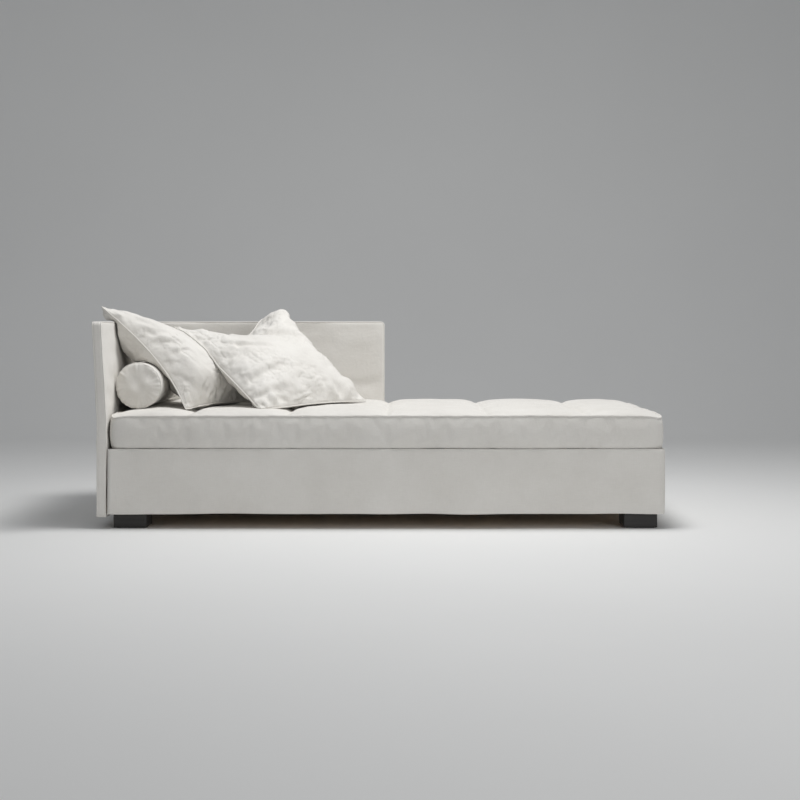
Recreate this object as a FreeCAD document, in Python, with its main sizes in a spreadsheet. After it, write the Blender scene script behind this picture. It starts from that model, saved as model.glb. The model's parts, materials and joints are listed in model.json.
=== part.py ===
"""Storage sofa bed: slip-covered box base, half back, headboard, lift-up slatted mattress platform.

+X runs from the headboard to the foot end, +Y to the rear, +Z up. The floor is z = 0 and the origin is
below the middle of the whole piece. Millimetres and degrees.
"""
import FreeCAD
import Part
import math
import os
import re
import Sketcher

CHANNELS = 5
SLATS = 14
FLOOR_PANELS = 3

SIZES = {
    # base box
    "base_length": 2000,
    "base_depth": 900,
    "rail_thickness": 25,
    "rail_bottom": 60,
    "rail_top": 278.5,
    "cover_wall": 10,
    "cover_cap": 6,
    "cover_hem": 54,
    "cover_corner": 24,
    "post_size": 60,
    "ledger_width": 20,
    "ledger_height": 12,
    "bearer_width": 60,
    "floor_thickness": 6,
    "floor_gap": 1,
    # feet
    "foot_size": 120,
    "foot_inset_head": 17,
    "foot_inset_foot": 27,
    "foot_inset_side": 22,
    "foot_edge": 3,
    "felt_height": 3,
    "felt_inset": 10,
    "hanger_radius": 4,
    "hanger_low": 25,
    "hanger_high": 100,
    # headboard and back panel
    "headboard_thickness": 43,
    "headboard_lean": 18,
    "headboard_gap": 1,
    "lean_start": 403,
    "panel_top": 743,
    "panel_bottom": 43,
    "panel_round": 15,
    "panel_board": 15,
    "board_bottom": 62,
    "back_length": 983,
    "back_thickness": 43,
    "back_gap": 1,
    # mattress
    "mattress_bottom": 286,
    "mattress_border": 117,
    "mattress_crown": 18,
    "channel_drop": 12,
    "channel_first": 280,
    "channel_pitch": 360,
    "channel_width": 34,
    "border_draw": 5,
    "mattress_end_round": 30,
    # slatted frame
    "tube_size": 30,
    "tube_wall": 1.5,
    "tube_offset": 39,
    "frame_head_room": 24,
    "frame_foot_room": 46,
    "slat_width": 60,
    "slat_thickness": 8,
    "slat_bow": 2.5,
    "slat_fit": 0.7,
    "slat_margin": 70,
    "cap_wall": 2.5,
    "cap_length": 42,
    "buffer_height": 10,
    "buffer_radius": 11,
    # lift mechanism
    "arm_length": 400,
    "arm_rest_angle": 10,
    "lift_angle": 55,
    "arm_width": 36,
    "arm_thickness": 6,
    "arm_head_place": 803,
    "arm_foot_place": 331,
    "strut_floor_room": 12,
    "plate_thickness": 4,
    "plate_margin": 40,
    "layer_gap": 2,
    "side_play": 0.15,
    "pin_radius": 6,
    "pin_play": 0.05,
    "pin_head": 2.5,
    "pin_head_radius": 10,
    "bracket_thickness": 6,
    "bracket_width": 80,
    "strut_reach": 165,
    "strut_base_angle": 213,
    "strut_arm_angle": 151,
    "strut_offset": 24,
    "strut_body_radius": 10,
    "strut_rod_radius": 4,
    "strut_bore_play": 0.3,
    "strut_bore_room": 3,
    "strut_eye_radius": 9,
    "strut_eye_width": 10,
    "strut_pin_radius": 4,
    "strut_pin_head": 3,
    "strut_neck": 13,
    "strut_grip": 15,
    "ear_radius": 14,
    # fasteners
    "screw_radius": 2.5,
    "screw_length": 22,
    "bolt_radius": 4,
    "bolt_head_radius": 8,
    "bolt_head_height": 4,
    "fastener_play": 0.1,
    "bolt_low": 110,
    "bolt_high": 225,
    "headboard_bolt_span": 500,
    "back_bolt_first": 150,
    "back_bolt_pitch": 350,
    "post_screw_low": 40,
    "post_screw_high": 130,
    "plate_screw_inset": 10,
    # pull strap
    "strap_width": 40,
    "strap_thickness": 3,
    "strap_drop": 95,
    # loose cushions
    "bolster_radius": 84,
    "bolster_rear_room": 70,
    "bolster_setback": 150,
    "bolster_end_round": 16,
    "cushion_gap": 0.4,
    "cushion_edge": 2.5,
    "cushion_draw": 16,
    "left_cushion_side": 491,
    "left_cushion_front": 136,
    "left_cushion_back": 62,
    "left_cushion_inset": 132,
    "left_cushion_depth": 468,
    "left_cushion_height": 196.5,
    "left_cushion_heading_angle": 82,
    "left_cushion_slope_angle": 49,
    "left_cushion_turn_angle": 0,
    "right_cushion_side": 565,
    "right_cushion_front": 100,
    "right_cushion_back": 75,
    "right_cushion_inset": 536,
    "right_cushion_depth": 500,
    "right_cushion_height": 180,
    "right_cushion_heading_angle": 43,
    "right_cushion_slope_angle": 35.3,
    "right_cushion_turn_angle": 3,
}

# Places worked out from the sizes; each may use the ones above it
PLACES = {
    "overall_length": "headboard_lean + headboard_thickness + headboard_gap + base_length",
    "overall_depth": "base_depth + back_gap + back_thickness",
    "x_foot": "overall_length / 2",
    "x_head": "x_foot - base_length",
    "y_front": "0 - overall_depth / 2",
    "y_back": "y_front + base_depth",
    "y_middle": "y_front + base_depth / 2",
    "rail_x_foot": "x_foot - cover_wall",
    "rail_y_front": "y_front + cover_wall",
    "rail_y_back": "y_back - cover_wall",
    "inside_front": "rail_y_front + rail_thickness",
    "inside_back": "rail_y_back - rail_thickness",
    "inside_head": "x_head + rail_thickness",
    "inside_foot": "rail_x_foot - rail_thickness",
    "cover_top": "rail_top + cover_cap",
    "headboard_outer": "x_head - headboard_gap - headboard_thickness",
    "headboard_inner": "x_head - headboard_gap",
    "panel_padding": "(headboard_thickness - panel_board) / 2",
    "back_face": "y_back + back_gap",
    "back_padding": "(back_thickness - panel_board) / 2",
    "foot_top": "rail_bottom",
    "foot_x_head": "x_head + foot_inset_head",
    "foot_x_foot": "x_foot - foot_inset_foot - foot_size",
    "foot_y_front": "y_front + foot_inset_side",
    "foot_y_back": "y_back - foot_inset_side - foot_size",
    "floor_bottom": "rail_bottom + ledger_height",
    "floor_top": "floor_bottom + floor_thickness",
    "tube_top": "mattress_bottom - 2 * cap_wall - slat_thickness",
    "tube_bottom": "tube_top - tube_size",
    "post_top": "tube_bottom - buffer_height",
    "tube_front": "inside_front + tube_offset",
    "tube_back": "inside_back - tube_offset",
    "frame_head": "inside_head + frame_head_room",
    "frame_foot": "inside_foot - frame_foot_room",
    "slat_pitch": "(frame_foot - frame_head - 2 * slat_margin - slat_width) / %d" % (SLATS - 1),
    "slat_first": "frame_head + slat_margin",
    "slat_bottom": "tube_top + cap_wall",
    "mattress_seam": "mattress_bottom + mattress_border",
    "pivot_x": "x_head + arm_head_place",
    "arm_spacing": "base_length - arm_head_place - arm_foot_place",
    "arm_reach": "arm_length * cos(arm_rest_angle)",
    "arm_rise": "arm_length * sin(arm_rest_angle)",
    "arm_inner": "plate_thickness + layer_gap + arm_thickness",
    "bracket_outer": "arm_inner + layer_gap",
    "bracket_inner": "bracket_outer + bracket_thickness",
    "strut_base_x": "strut_reach * cos(strut_base_angle)",
    "strut_base_z": "strut_reach * sin(strut_base_angle)",
    "arm_pivot_height": "floor_top + strut_floor_room - strut_base_z",
    "strut_closed": "2 * strut_reach * sin((strut_base_angle - strut_arm_angle) / 2)",
    "strut_open": "2 * strut_reach * sin((strut_base_angle - strut_arm_angle + lift_angle) / 2)",
    "strut_tilt": "180 - (strut_base_angle + strut_arm_angle) / 2",
    "strut_body_top": "strut_closed - strut_eye_radius - strut_neck",
    "strut_rod_length": "strut_open - strut_body_top + strut_grip",
    "strut_bore_bottom": "strut_closed - strut_rod_length - strut_bore_room",
    "ear_angle": "180 - strut_arm_angle - arm_rest_angle",
    "ear_x": "0 - strut_reach * cos(ear_angle)",
    "ear_z": "strut_reach * sin(ear_angle)",
    "bolster_length": "base_depth - bolster_setback - bolster_rear_room",
    "bolster_lift": "(mattress_seam + mattress_crown - lean_start + bolster_radius / 2)"
                    " / (panel_top - lean_start)",
    "bolster_x": "headboard_inner - headboard_lean * bolster_lift + bolster_radius + cushion_gap",
    "bolster_z": "mattress_seam + mattress_crown + cushion_gap + bolster_radius",
}

doc = FreeCAD.newDocument("StorageSofaBed")
sheet = doc.addObject("Spreadsheet::Sheet", "Sizes")
for row, (alias, number) in enumerate(SIZES.items(), start=1):
    sheet.set("A%d" % row, alias)
    sheet.set("B%d" % row, str(number))
    sheet.setAlias("B%d" % row, alias)
doc.recompute()
places = doc.addObject("App::FeaturePython", "Places")


def linked(text):
    """Write an expression with each size and place named by the object that holds it."""
    def owner(match):
        word = match.group()
        if word in SIZES:
            return "Sizes." + word
        if word in PLACES:
            return "Places." + word
        return word
    return re.sub(r"[a-z]\w*", owner, text)


def bind(thing, **expressions):
    """Tie properties to the sheet; x, y and z stand for the placement."""
    for name, text in expressions.items():
        path = "Placement.Base." + name if name in ("x", "y", "z") else name
        thing.setExpression(path, linked(str(text)))


for place in PLACES:
    places.addProperty("App::PropertyFloat", place)
for place, text in PLACES.items():
    places.setExpression(place, linked(text))
doc.recompute()


def size(name):
    """The present value of a size or a place."""
    return float(getattr(sheet if name in SIZES else places, name))


pieces = []


def keep(thing, label):
    """Give a finished sub-part its name."""
    thing.Label = label
    pieces.append(thing)
    return thing


def box(x0, x1, y0, y1, z0, z1):
    """A block between two corners."""
    block = doc.addObject("Part::Box", "Block")
    bind(block, Length="(%s) - (%s)" % (x1, x0), Width="(%s) - (%s)" % (y1, y0),
         Height="(%s) - (%s)" % (z1, z0), x=x0, y=y0, z=z0)
    return block


TURN = {
    "x": (FreeCAD.Vector(0, 1, 0), 90),
    "y": (FreeCAD.Vector(1, 0, 0), -90),
    "z": (FreeCAD.Vector(0, 0, 1), 0),
}


def round_bar(axis, x, y, z, length, radius):
    """A cylinder that starts at a point and runs along an axis."""
    bar = doc.addObject("Part::Cylinder", "Bar")
    bar.Placement.Rotation = FreeCAD.Rotation(*TURN[axis])
    bind(bar, Radius=radius, Height=length, x=x, y=y, z=z)
    return bar


def group(things):
    """Separate solids kept together."""
    bundle = doc.addObject("Part::Compound", "Group")
    bundle.Links = things
    return bundle


def join(things):
    """One solid from several that touch or overlap."""
    if len(things) == 1:
        return things[0]
    whole = doc.addObject("Part::MultiFuse", "Joined")
    whole.Shapes = things
    whole.Refine = True
    return whole


def cut(base, tools):
    """A solid with others taken out of it."""
    rest = doc.addObject("Part::Cut", "Shaped")
    rest.Base = base
    rest.Tool = tools[0] if len(tools) == 1 else group(tools)
    return rest


def origin_plane(body, role):
    """One of a body's own planes."""
    return next(plane for plane in body.Origin.OriginFeatures if plane.Role == role)


def padded_outline(role, points, length):
    """A body padded from a closed outline of straight lines on one of its own planes."""
    body = doc.addObject("PartDesign::Body", "Body")
    sketch = body.newObject("Sketcher::SketchObject", "Outline")
    sketch.AttachmentSupport = [(origin_plane(body, role), "")]
    sketch.MapMode = "FlatFace"
    count = len(points)
    for i in range(count):
        turns = [math.tau * k / count for k in (i, i + 1)]
        ends = [FreeCAD.Vector(math.cos(turn), math.sin(turn), 0) for turn in turns]
        sketch.addGeometry(Part.LineSegment(*ends))
    for i in range(count):
        sketch.addConstraint(Sketcher.Constraint("Coincident", i, 2, (i + 1) % count, 1))
    for i, (across, up) in enumerate(points):
        for kind, text in (("DistanceX", across), ("DistanceY", up)):
            index = sketch.addConstraint(Sketcher.Constraint(kind, -1, 1, i, 1, 1.0))
            sketch.setExpression("Constraints[%d]" % index, linked(text))
    pad = body.newObject("PartDesign::Pad", "Pad")
    pad.Profile = sketch
    bind(pad, Length=length)
    doc.recompute()
    return body, pad


def rounded(body, feature, chosen, radius):
    """Round the edges of a body's last feature that a test picks out."""
    names = ["Edge%d" % (i + 1) for i, edge in enumerate(feature.Shape.Edges) if chosen(edge)]
    fillet = body.newObject("PartDesign::Fillet", "Rounding")
    fillet.Base = (feature, names)
    bind(fillet, Radius=radius)
    doc.recompute()
    return fillet


def is_upright(edge):
    """True for an edge that runs along Z."""
    return abs(edge.BoundBox.ZLength - edge.Length) < 0.01


def is_outer_corner(edge, outer):
    """True for the upright edge at the foot end on the outer side."""
    at_foot = abs(edge.BoundBox.XMin - size("x_foot")) < 0.01
    at_side = abs(edge.BoundBox.YMin - size(outer)) < 0.01
    return is_upright(edge) and at_foot and at_side


def formed(shape, label):
    """A sub-part whose shape is worked out from the sizes."""
    thing = doc.addObject("Part::Feature", "Form")
    thing.Shape = shape
    return keep(thing, label)


def spot(x, y, z):
    """A point."""
    return FreeCAD.Vector(x, y, z)


def arc(start, middle, end):
    """A circular edge through three points."""
    return Part.Arc(start, middle, end).toShape()


SIDES = ("front", "rear")
ENDS = ("head", "foot")


def layer(side, near, far):
    """The Y range between two distances from a long rail's inner face."""
    if side == "front":
        return "inside_front + (%s)" % near, "inside_front + (%s)" % far
    return "inside_back - (%s)" % far, "inside_back - (%s)" % near


def cross_bar(side, x, z, near, far, radius):
    """A cylinder along Y between two distances from a long rail's inner face."""
    start = layer(side, near, far)[0]
    return round_bar("y", x, start, z, "(%s) - (%s)" % (far, near), radius)


def corner_x(end, near, far):
    """The X range between two distances from an end rail's inner face."""
    if end == "head":
        return "inside_head + (%s)" % near, "inside_head + (%s)" % far
    return "inside_foot - (%s)" % far, "inside_foot - (%s)" % near


def pivot(end):
    """Where the arms near one end turn on the base, along X."""
    return "pivot_x" if end == "head" else "pivot_x + arm_spacing"


# Fasteners and the holes that take them
def post_screws():
    """Screws through the rails into the corner posts, with their holes."""
    screws = {"front": [], "rear": [], "head": [], "foot": []}
    holes = {"front": [], "rear": [], "head": [], "foot": []}
    reach = "rail_thickness + screw_length"
    for side in SIDES:
        for end in ENDS:
            x = corner_x(end, "post_size / 2", "post_size / 2")[0]
            y = layer(side, "post_size / 2", "post_size / 2")[0]
            for height in ("post_screw_low", "post_screw_high"):
                z = "rail_bottom + " + height
                low = z + " + 3 * screw_radius"
                x0 = corner_x(end, "0 - rail_thickness", "screw_length")[0]
                for store, extra in ((screws, "0"), (holes, "fastener_play")):
                    radius = "screw_radius + " + extra
                    store[side].append(cross_bar(side, x, z, "0 - rail_thickness", "screw_length", radius))
                    store[end].append(round_bar("x", x0, y, low, reach, radius))
    return screws, holes


def plate_box(end):
    """The X and Z limits of a mechanism plate."""
    left = "strut_base_x - plate_margin / 2" if end == "head" else "0 - plate_margin"
    bottom = "floor_top + layer_gap" if end == "head" else "arm_pivot_height - plate_margin"
    start = "%s + %s" % (pivot(end), left)
    return start, pivot(end) + " + plate_margin", bottom, "arm_pivot_height + plate_margin"


def plate_screws(side, end, extra):
    """Flush screws at a mechanism plate's corners."""
    x0, x1, z0, z1 = plate_box(end)
    return [cross_bar(side, x, z, "0 - screw_length", "plate_thickness", "screw_radius + " + extra)
            for x in (x0 + " + plate_screw_inset", x1 + " - plate_screw_inset")
            for z in (z0 + " + plate_screw_inset", z1 + " - plate_screw_inset")]


def panel_bolts(extra):
    """Bolts from inside the box into the headboard and into the back panel."""
    radius = "bolt_radius + " + extra
    grip = "inside_head - headboard_outer - panel_padding"
    reach = "back_face + back_padding + panel_board - inside_back"
    head_shanks, back_shanks, head_caps, back_caps = [], [], [], []
    for z in ("bolt_low", "bolt_high"):
        for sign in ("+", "-"):
            y = "y_middle %s headboard_bolt_span / 2" % sign
            head_shanks.append(round_bar("x", "headboard_outer + panel_padding", y, z, grip, radius))
            head_caps.append(round_bar("x", "inside_head", y, z, "bolt_head_height", "bolt_head_radius"))
        for step in ("0", "back_bolt_pitch"):
            x = "x_head + back_bolt_first + " + step
            back_shanks.append(round_bar("y", x, "inside_back", z, reach, radius))
            back_caps.append(round_bar("y", x, "inside_back - bolt_head_height", z, "bolt_head_height",
                                       "bolt_head_radius"))
    return head_shanks, back_shanks, head_caps, back_caps


screws, screw_holes = post_screws()
keep(group([screw for part in screws.values() for screw in part]), "rail_screws")
head_bolt_shanks, back_bolt_shanks, head_bolt_caps, back_bolt_caps = panel_bolts("0")
head_bolt_holes, back_bolt_holes = panel_bolts("fastener_play")[:2]
keep(group([join(list(pair)) for pair in zip(head_bolt_shanks, head_bolt_caps)]), "headboard_bolts")
keep(group([join(list(pair)) for pair in zip(back_bolt_shanks, back_bolt_caps)]), "back_panel_bolts")
flush_screws = [screw for side in SIDES for end in ENDS for screw in plate_screws(side, end, "0")]
keep(group(flush_screws), "plate_screws")

# Base box
for side in SIDES:
    y0, y1 = layer(side, "0 - rail_thickness", "0")
    board = box("x_head", "rail_x_foot", y0, y1, "rail_bottom", "rail_top")
    holes = list(screw_holes[side])
    for end in ENDS:
        holes += plate_screws(side, end, "fastener_play")
        holes.append(cross_bar(side, pivot(end), "arm_pivot_height", "0 - rail_thickness", "0",
                               "pin_radius + pin_play"))
    if side == "rear":
        holes += back_bolt_holes
    keep(cut(board, holes), side + "_rail")

for end in ENDS:
    x0, x1 = corner_x(end, "0 - rail_thickness", "0")
    board = box(x0, x1, "inside_front", "inside_back", "rail_bottom", "rail_top")
    holes = screw_holes[end] + (head_bolt_holes if end == "head" else [])
    keep(cut(board, holes), end + "_rail")

for side in SIDES:
    y0, y1 = layer(side, "0 - rail_thickness - cover_wall", "0")
    outer = "y_front" if side == "front" else "y_back"
    body, pad = padded_outline("XY_Plane", [("x_head", y0), ("x_foot", y0), ("x_foot", y1), ("x_head", y1)],
                               "cover_top - cover_hem")
    bind(body, z="cover_hem")
    rounded(body, pad, lambda edge: is_outer_corner(edge, outer), "cover_corner")
    wall = layer(side, "0 - rail_thickness", "1")
    tools = [box("x_head - 1", "rail_x_foot", wall[0], wall[1], "cover_hem - 1", "rail_top")]
    if side == "rear":
        tools += back_bolt_holes
    keep(cut(body, tools), side + "_rail_cover")

foot_sleeve = box("inside_foot", "x_foot", "inside_front", "inside_back", "cover_hem", "cover_top")
foot_room = box("inside_foot - 1", "rail_x_foot", "inside_front - 1", "inside_back + 1", "cover_hem - 1",
                "rail_top")
keep(cut(foot_sleeve, [foot_room]), "foot_rail_cover")

post_rooms = []
for side in SIDES:
    for end in ENDS:
        x0, x1 = corner_x(end, "0", "post_size")
        y0, y1 = layer(side, "0", "post_size")
        middle_x = corner_x(end, "post_size / 2", "post_size / 2")[0]
        middle_y = layer(side, "post_size / 2", "post_size / 2")[0]
        hanger_hole = round_bar("z", middle_x, middle_y, "hanger_low", "hanger_high - hanger_low",
                                "hanger_radius + fastener_play")
        post = box(x0, x1, y0, y1, "rail_bottom", "post_top")
        holes = screw_holes[side] + screw_holes[end] + [hanger_hole]
        keep(cut(post, holes), "corner_post_%s_%s" % (side, end))
        wide_x = corner_x(end, "0 - 1", "post_size + floor_gap")
        wide_y = layer(side, "0 - 1", "post_size + floor_gap")
        post_rooms.append(box(*wide_x, *wide_y, "floor_bottom - 1", "floor_top + 1"))
        foot_x = "foot_x_" + end
        foot_y = "foot_y_front" if side == "front" else "foot_y_back"
        far_x = foot_x + " + foot_size"
        far_y = foot_y + " + foot_size"
        outline = [(foot_x, foot_y), (far_x, foot_y), (far_x, far_y), (foot_x, far_y)]
        body, pad = padded_outline("XY_Plane", outline, "foot_top - felt_height")
        bind(body, z="felt_height")
        rounded(body, pad, is_upright, "foot_edge")
        keep(cut(body, [hanger_hole]), "foot_%s_%s" % (side, end))

hangers = []
felts = []
for side in SIDES:
    for end in ENDS:
        middle_x = corner_x(end, "post_size / 2", "post_size / 2")[0]
        middle_y = layer(side, "post_size / 2", "post_size / 2")[0]
        hangers.append(round_bar("z", middle_x, middle_y, "hanger_low", "hanger_high - hanger_low",
                                 "hanger_radius"))
        foot_x = "foot_x_" + end
        foot_y = "foot_y_front" if side == "front" else "foot_y_back"
        far = " + foot_size - felt_inset"
        felts.append(box(foot_x + " + felt_inset", foot_x + far, foot_y + " + felt_inset", foot_y + far, "0",
                         "felt_height"))
keep(group(hangers), "foot_hanger_bolts")
keep(group(felts), "felt_pads")

for side in SIDES:
    y0, y1 = layer(side, "0", "ledger_width")
    ledger = box("inside_head + post_size", "inside_foot - post_size", y0, y1, "rail_bottom", "floor_bottom")
    keep(ledger, side + "_ledger")
bearers = []
for i in range(FLOOR_PANELS):
    step = "(inside_foot - inside_head) / %d" % FLOOR_PANELS
    x0 = "inside_head + %d * %s" % (i, step)
    panel = box(x0 + " + floor_gap / 2", x0 + " + %s - floor_gap / 2" % step, "inside_front + floor_gap",
                "inside_back - floor_gap", "floor_bottom", "floor_top")
    if i in (0, FLOOR_PANELS - 1):
        panel = cut(panel, post_rooms)
    keep(panel, "floor_panel_%d" % (i + 1))
    if i:
        bearers.append(box(x0 + " - bearer_width / 2", x0 + " + bearer_width / 2",
                           "inside_front + ledger_width", "inside_back - ledger_width", "rail_bottom",
                           "floor_bottom"))
keep(group(bearers), "floor_bearers")


# Headboard and back panel
def leaning(inset, low, high):
    """The headboard's upright outline, drawn in by an inset; the top leans out past the bend."""
    top = "(%s)" % high
    lean = "headboard_lean * (%s - lean_start) / (panel_top - lean_start)" % top
    outer = "headboard_outer + " + inset
    inner = "headboard_inner - " + inset
    return [(outer, low), (inner, low), (inner, "lean_start"), (inner + " - " + lean, top),
            (outer + " - " + lean, top), (outer, "lean_start")]


def bend_free(edge):
    """True for every edge but the ones along the headboard's bend."""
    return not all(abs(corner.Z - size("lean_start")) < 0.01 for corner in edge.Vertexes)


def headboard_prism(low, high, inset, end_inset):
    """A body of the headboard's outline that runs from the rear to the front."""
    body, pad = padded_outline("XZ_Plane", leaning(inset, low, high), "overall_depth - 2 * %s" % end_inset)
    bind(body, y="overall_depth / 2 - " + end_inset)
    return body, pad


headboard_body, headboard_pad = headboard_prism("panel_bottom", "panel_top", "0", "0")
rounded(headboard_body, headboard_pad, bend_free, "panel_round")
board_top = "panel_top - panel_padding"
headboard_room = headboard_prism("panel_bottom - 1", board_top, "panel_padding", "panel_padding")[0]
keep(cut(headboard_body, [headboard_room] + head_bolt_holes), "headboard_cover")
headboard_board = headboard_prism("board_bottom", board_top, "panel_padding", "panel_padding")[0]
keep(cut(headboard_board, head_bolt_holes), "headboard_board")


def back_prism(inset, low, high, thickness, rear):
    """A body of the back panel's outline; its head end follows the headboard's lean."""
    lean = "headboard_lean * (%s - lean_start) / (panel_top - lean_start)" % high
    left = "x_head + " + inset
    right = "x_head + back_length - " + inset
    points = [(left, low), (right, low), (right, high), (left + " - " + lean, high), (left, "lean_start")]
    body, pad = padded_outline("XZ_Plane", points, thickness)
    bind(body, y=rear)
    return body, pad


back_rear = "back_face + back_thickness"
back_body, back_pad = back_prism("0", "panel_bottom", "panel_top", "back_thickness", back_rear)
rounded(back_body, back_pad, bend_free, "panel_round")
board_rear = back_rear + " - back_padding"
back_high = "(panel_top - back_padding)"
back_room = back_prism("back_padding", "panel_bottom - 1", back_high, "panel_board", board_rear)[0]
keep(cut(back_body, [back_room] + back_bolt_holes), "back_cover")
back_board = back_prism("back_padding", "board_bottom", back_high, "panel_board", board_rear)[0]
keep(cut(back_board, back_bolt_holes), "back_board")


# Lift mechanism
def strut_pin(side, x, z, start):
    """A shoulder pin for a gas spring's eye, standing on a face at a given layer."""
    near = "strut_offset - strut_eye_width / 2 - side_play"
    far = "strut_offset + strut_eye_width / 2 + side_play"
    shoulder = "strut_pin_radius + strut_pin_head"
    return [cross_bar(side, x, z, start, near, shoulder),
            cross_bar(side, x, z, start, far, "strut_pin_radius"),
            cross_bar(side, x, z, far, far + " + strut_pin_head", shoulder)]


def arm(side, end):
    """A lift arm, drawn level towards the headboard from its base pivot, then turned to its rest angle."""
    y0, y1 = layer(side, "plate_thickness + layer_gap", "arm_inner")
    middle = [box("0 - arm_length", "0", y0, y1, "0 - arm_width / 2", "arm_width / 2"),
              round_bar("y", "0", y0, "0", "arm_thickness", "arm_width / 2"),
              round_bar("y", "0 - arm_length", y0, "0", "arm_thickness", "arm_width / 2")]
    if end == "head":
        web = box("ear_x - ear_radius", "ear_x + ear_radius", y0, y1, "0", "ear_z")
        middle += [web, round_bar("y", "ear_x", y0, "ear_z", "arm_thickness", "ear_radius")]
        middle += strut_pin(side, "ear_x", "ear_z", "arm_inner")
    holes = [round_bar("y", x, y0, "0", "arm_thickness", "pin_radius + pin_play")
             for x in ("0", "0 - arm_length")]
    turned = cut(join(middle), holes)
    turned.Placement.Rotation = FreeCAD.Rotation(spot(0, 1, 0), size("arm_rest_angle"))
    bind(turned, x=pivot(end), z="arm_pivot_height")
    turned.setExpression("Placement.Rotation.Angle", linked("arm_rest_angle"))
    return keep(turned, "arm_%s_%s" % (side, end))


arm_pivots = []
brackets = []
for side in SIDES:
    for end in ENDS:
        x0, x1, z0, z1 = plate_box(end)
        y0, y1 = layer(side, "0", "plate_thickness")
        plate = [box(x0, x1, y0, y1, z0, z1)]
        if end == "head":
            plate += strut_pin(side, "pivot_x + strut_base_x", "arm_pivot_height + strut_base_z",
                               "plate_thickness")
        holes = plate_screws(side, end, "fastener_play")
        holes.append(cross_bar(side, pivot(end), "arm_pivot_height", "0", "plate_thickness",
                               "pin_radius + pin_play"))
        keep(cut(join(plate), holes), "arm_plate_%s_%s" % (side, end))
        flange_end = "plate_thickness + layer_gap - side_play"
        head_start = "arm_inner + side_play"
        arm_pivots.append(join([
            cross_bar(side, pivot(end), "arm_pivot_height", "0 - rail_thickness", head_start, "pin_radius"),
            cross_bar(side, pivot(end), "arm_pivot_height", "plate_thickness", flange_end, "pin_head_radius"),
            cross_bar(side, pivot(end), "arm_pivot_height", head_start, head_start + " + pin_head",
                      "pin_head_radius")]))
        arm(side, end)
        joint_x = pivot(end) + " - arm_reach"
        joint_z = "arm_pivot_height + arm_rise"
        leg_y = layer(side, "bracket_outer", "bracket_inner")
        flange_y = layer(side, "bracket_outer", "tube_offset + tube_size")
        bracket_x = (joint_x + " - bracket_width / 2", joint_x + " + bracket_width / 2")
        brackets.append(join([
            box(*bracket_x, *leg_y, "tube_bottom - plate_thickness", "tube_top"),
            box(*bracket_x, *flange_y, "tube_bottom - plate_thickness", "tube_bottom"),
            cross_bar(side, joint_x, joint_z, head_start, "bracket_outer", "pin_head_radius"),
            cross_bar(side, joint_x, joint_z, flange_end, "bracket_outer", "pin_radius"),
            cross_bar(side, joint_x, joint_z, flange_end + " - pin_head", flange_end, "pin_head_radius")]))
keep(group(arm_pivots), "arm_pivots")
keep(group(brackets), "platform_brackets")


def turned_strut(parts, holes, side, label):
    """A gas spring piece drawn upright from its base eye, then leaned to its rest angle."""
    whole = cut(join(parts), holes)
    whole.Placement.Rotation = FreeCAD.Rotation(spot(0, 1, 0), size("strut_tilt"))
    middle = layer(side, "strut_offset", "strut_offset")[0]
    bind(whole, x="pivot_x + strut_base_x", y=middle, z="arm_pivot_height + strut_base_z")
    whole.setExpression("Placement.Rotation.Axis.y", "1")
    whole.setExpression("Placement.Rotation.Angle", linked("strut_tilt"))
    return keep(whole, label)


for side in SIDES:
    half = "0 - strut_eye_width / 2"
    bottom_eye = round_bar("y", "0", half, "0", "strut_eye_width", "strut_eye_radius")
    bottom_hole = round_bar("y", "0", half, "0", "strut_eye_width", "strut_pin_radius + pin_play")
    tube = round_bar("z", "0", "0", "strut_eye_radius - 1", "strut_body_top - strut_eye_radius + 1",
                     "strut_body_radius")
    bore = round_bar("z", "0", "0", "strut_bore_bottom", "strut_body_top - strut_bore_bottom + 1",
                     "strut_rod_radius + strut_bore_play")
    turned_strut([bottom_eye, tube], [bore, bottom_hole], side, "gas_spring_cylinder_" + side)
    top_eye = round_bar("y", "0", half, "strut_closed", "strut_eye_width", "strut_eye_radius")
    top_hole = round_bar("y", "0", half, "strut_closed", "strut_eye_width", "strut_pin_radius + pin_play")
    rod = round_bar("z", "0", "0", "strut_closed - strut_rod_length", "strut_rod_length", "strut_rod_radius")
    turned_strut([top_eye, rod], [top_hole], side, "gas_spring_rod_" + side)

# Slatted platform
buffers = []
for side in SIDES:
    y0, y1 = layer(side, "tube_offset", "tube_offset + tube_size")
    shell = box("frame_head", "frame_foot", y0, y1, "tube_bottom", "tube_top")
    hollow = box("frame_head - 1", "frame_foot + 1", y0 + " + tube_wall", y1 + " - tube_wall",
                 "tube_bottom + tube_wall", "tube_top - tube_wall")
    keep(cut(shell, [hollow]), side + "_side_tube")
    for end in ENDS:
        inward = "post_size - buffer_radius - 1"
        buffers.append(round_bar("z", corner_x(end, inward, inward)[0], layer(side, inward, inward)[0],
                                 "post_top", "buffer_height", "buffer_radius"))
keep(group(buffers), "rest_buffers")

cross_tubes = (("head", "frame_head"), ("middle", "(frame_head + frame_foot - tube_size) / 2"),
               ("foot", "frame_foot - tube_size"))
for name, x in cross_tubes:
    y0 = "tube_front + tube_size"
    y1 = "tube_back - tube_size"
    shell = box(x, x + " + tube_size", y0, y1, "tube_bottom", "tube_top")
    hollow = box(x + " + tube_wall", x + " + tube_size - tube_wall", y0 + " - 1", y1 + " + 1",
                 "tube_bottom + tube_wall", "tube_top - tube_wall")
    keep(cut(shell, [hollow]), name + "_cross_tube")


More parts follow.
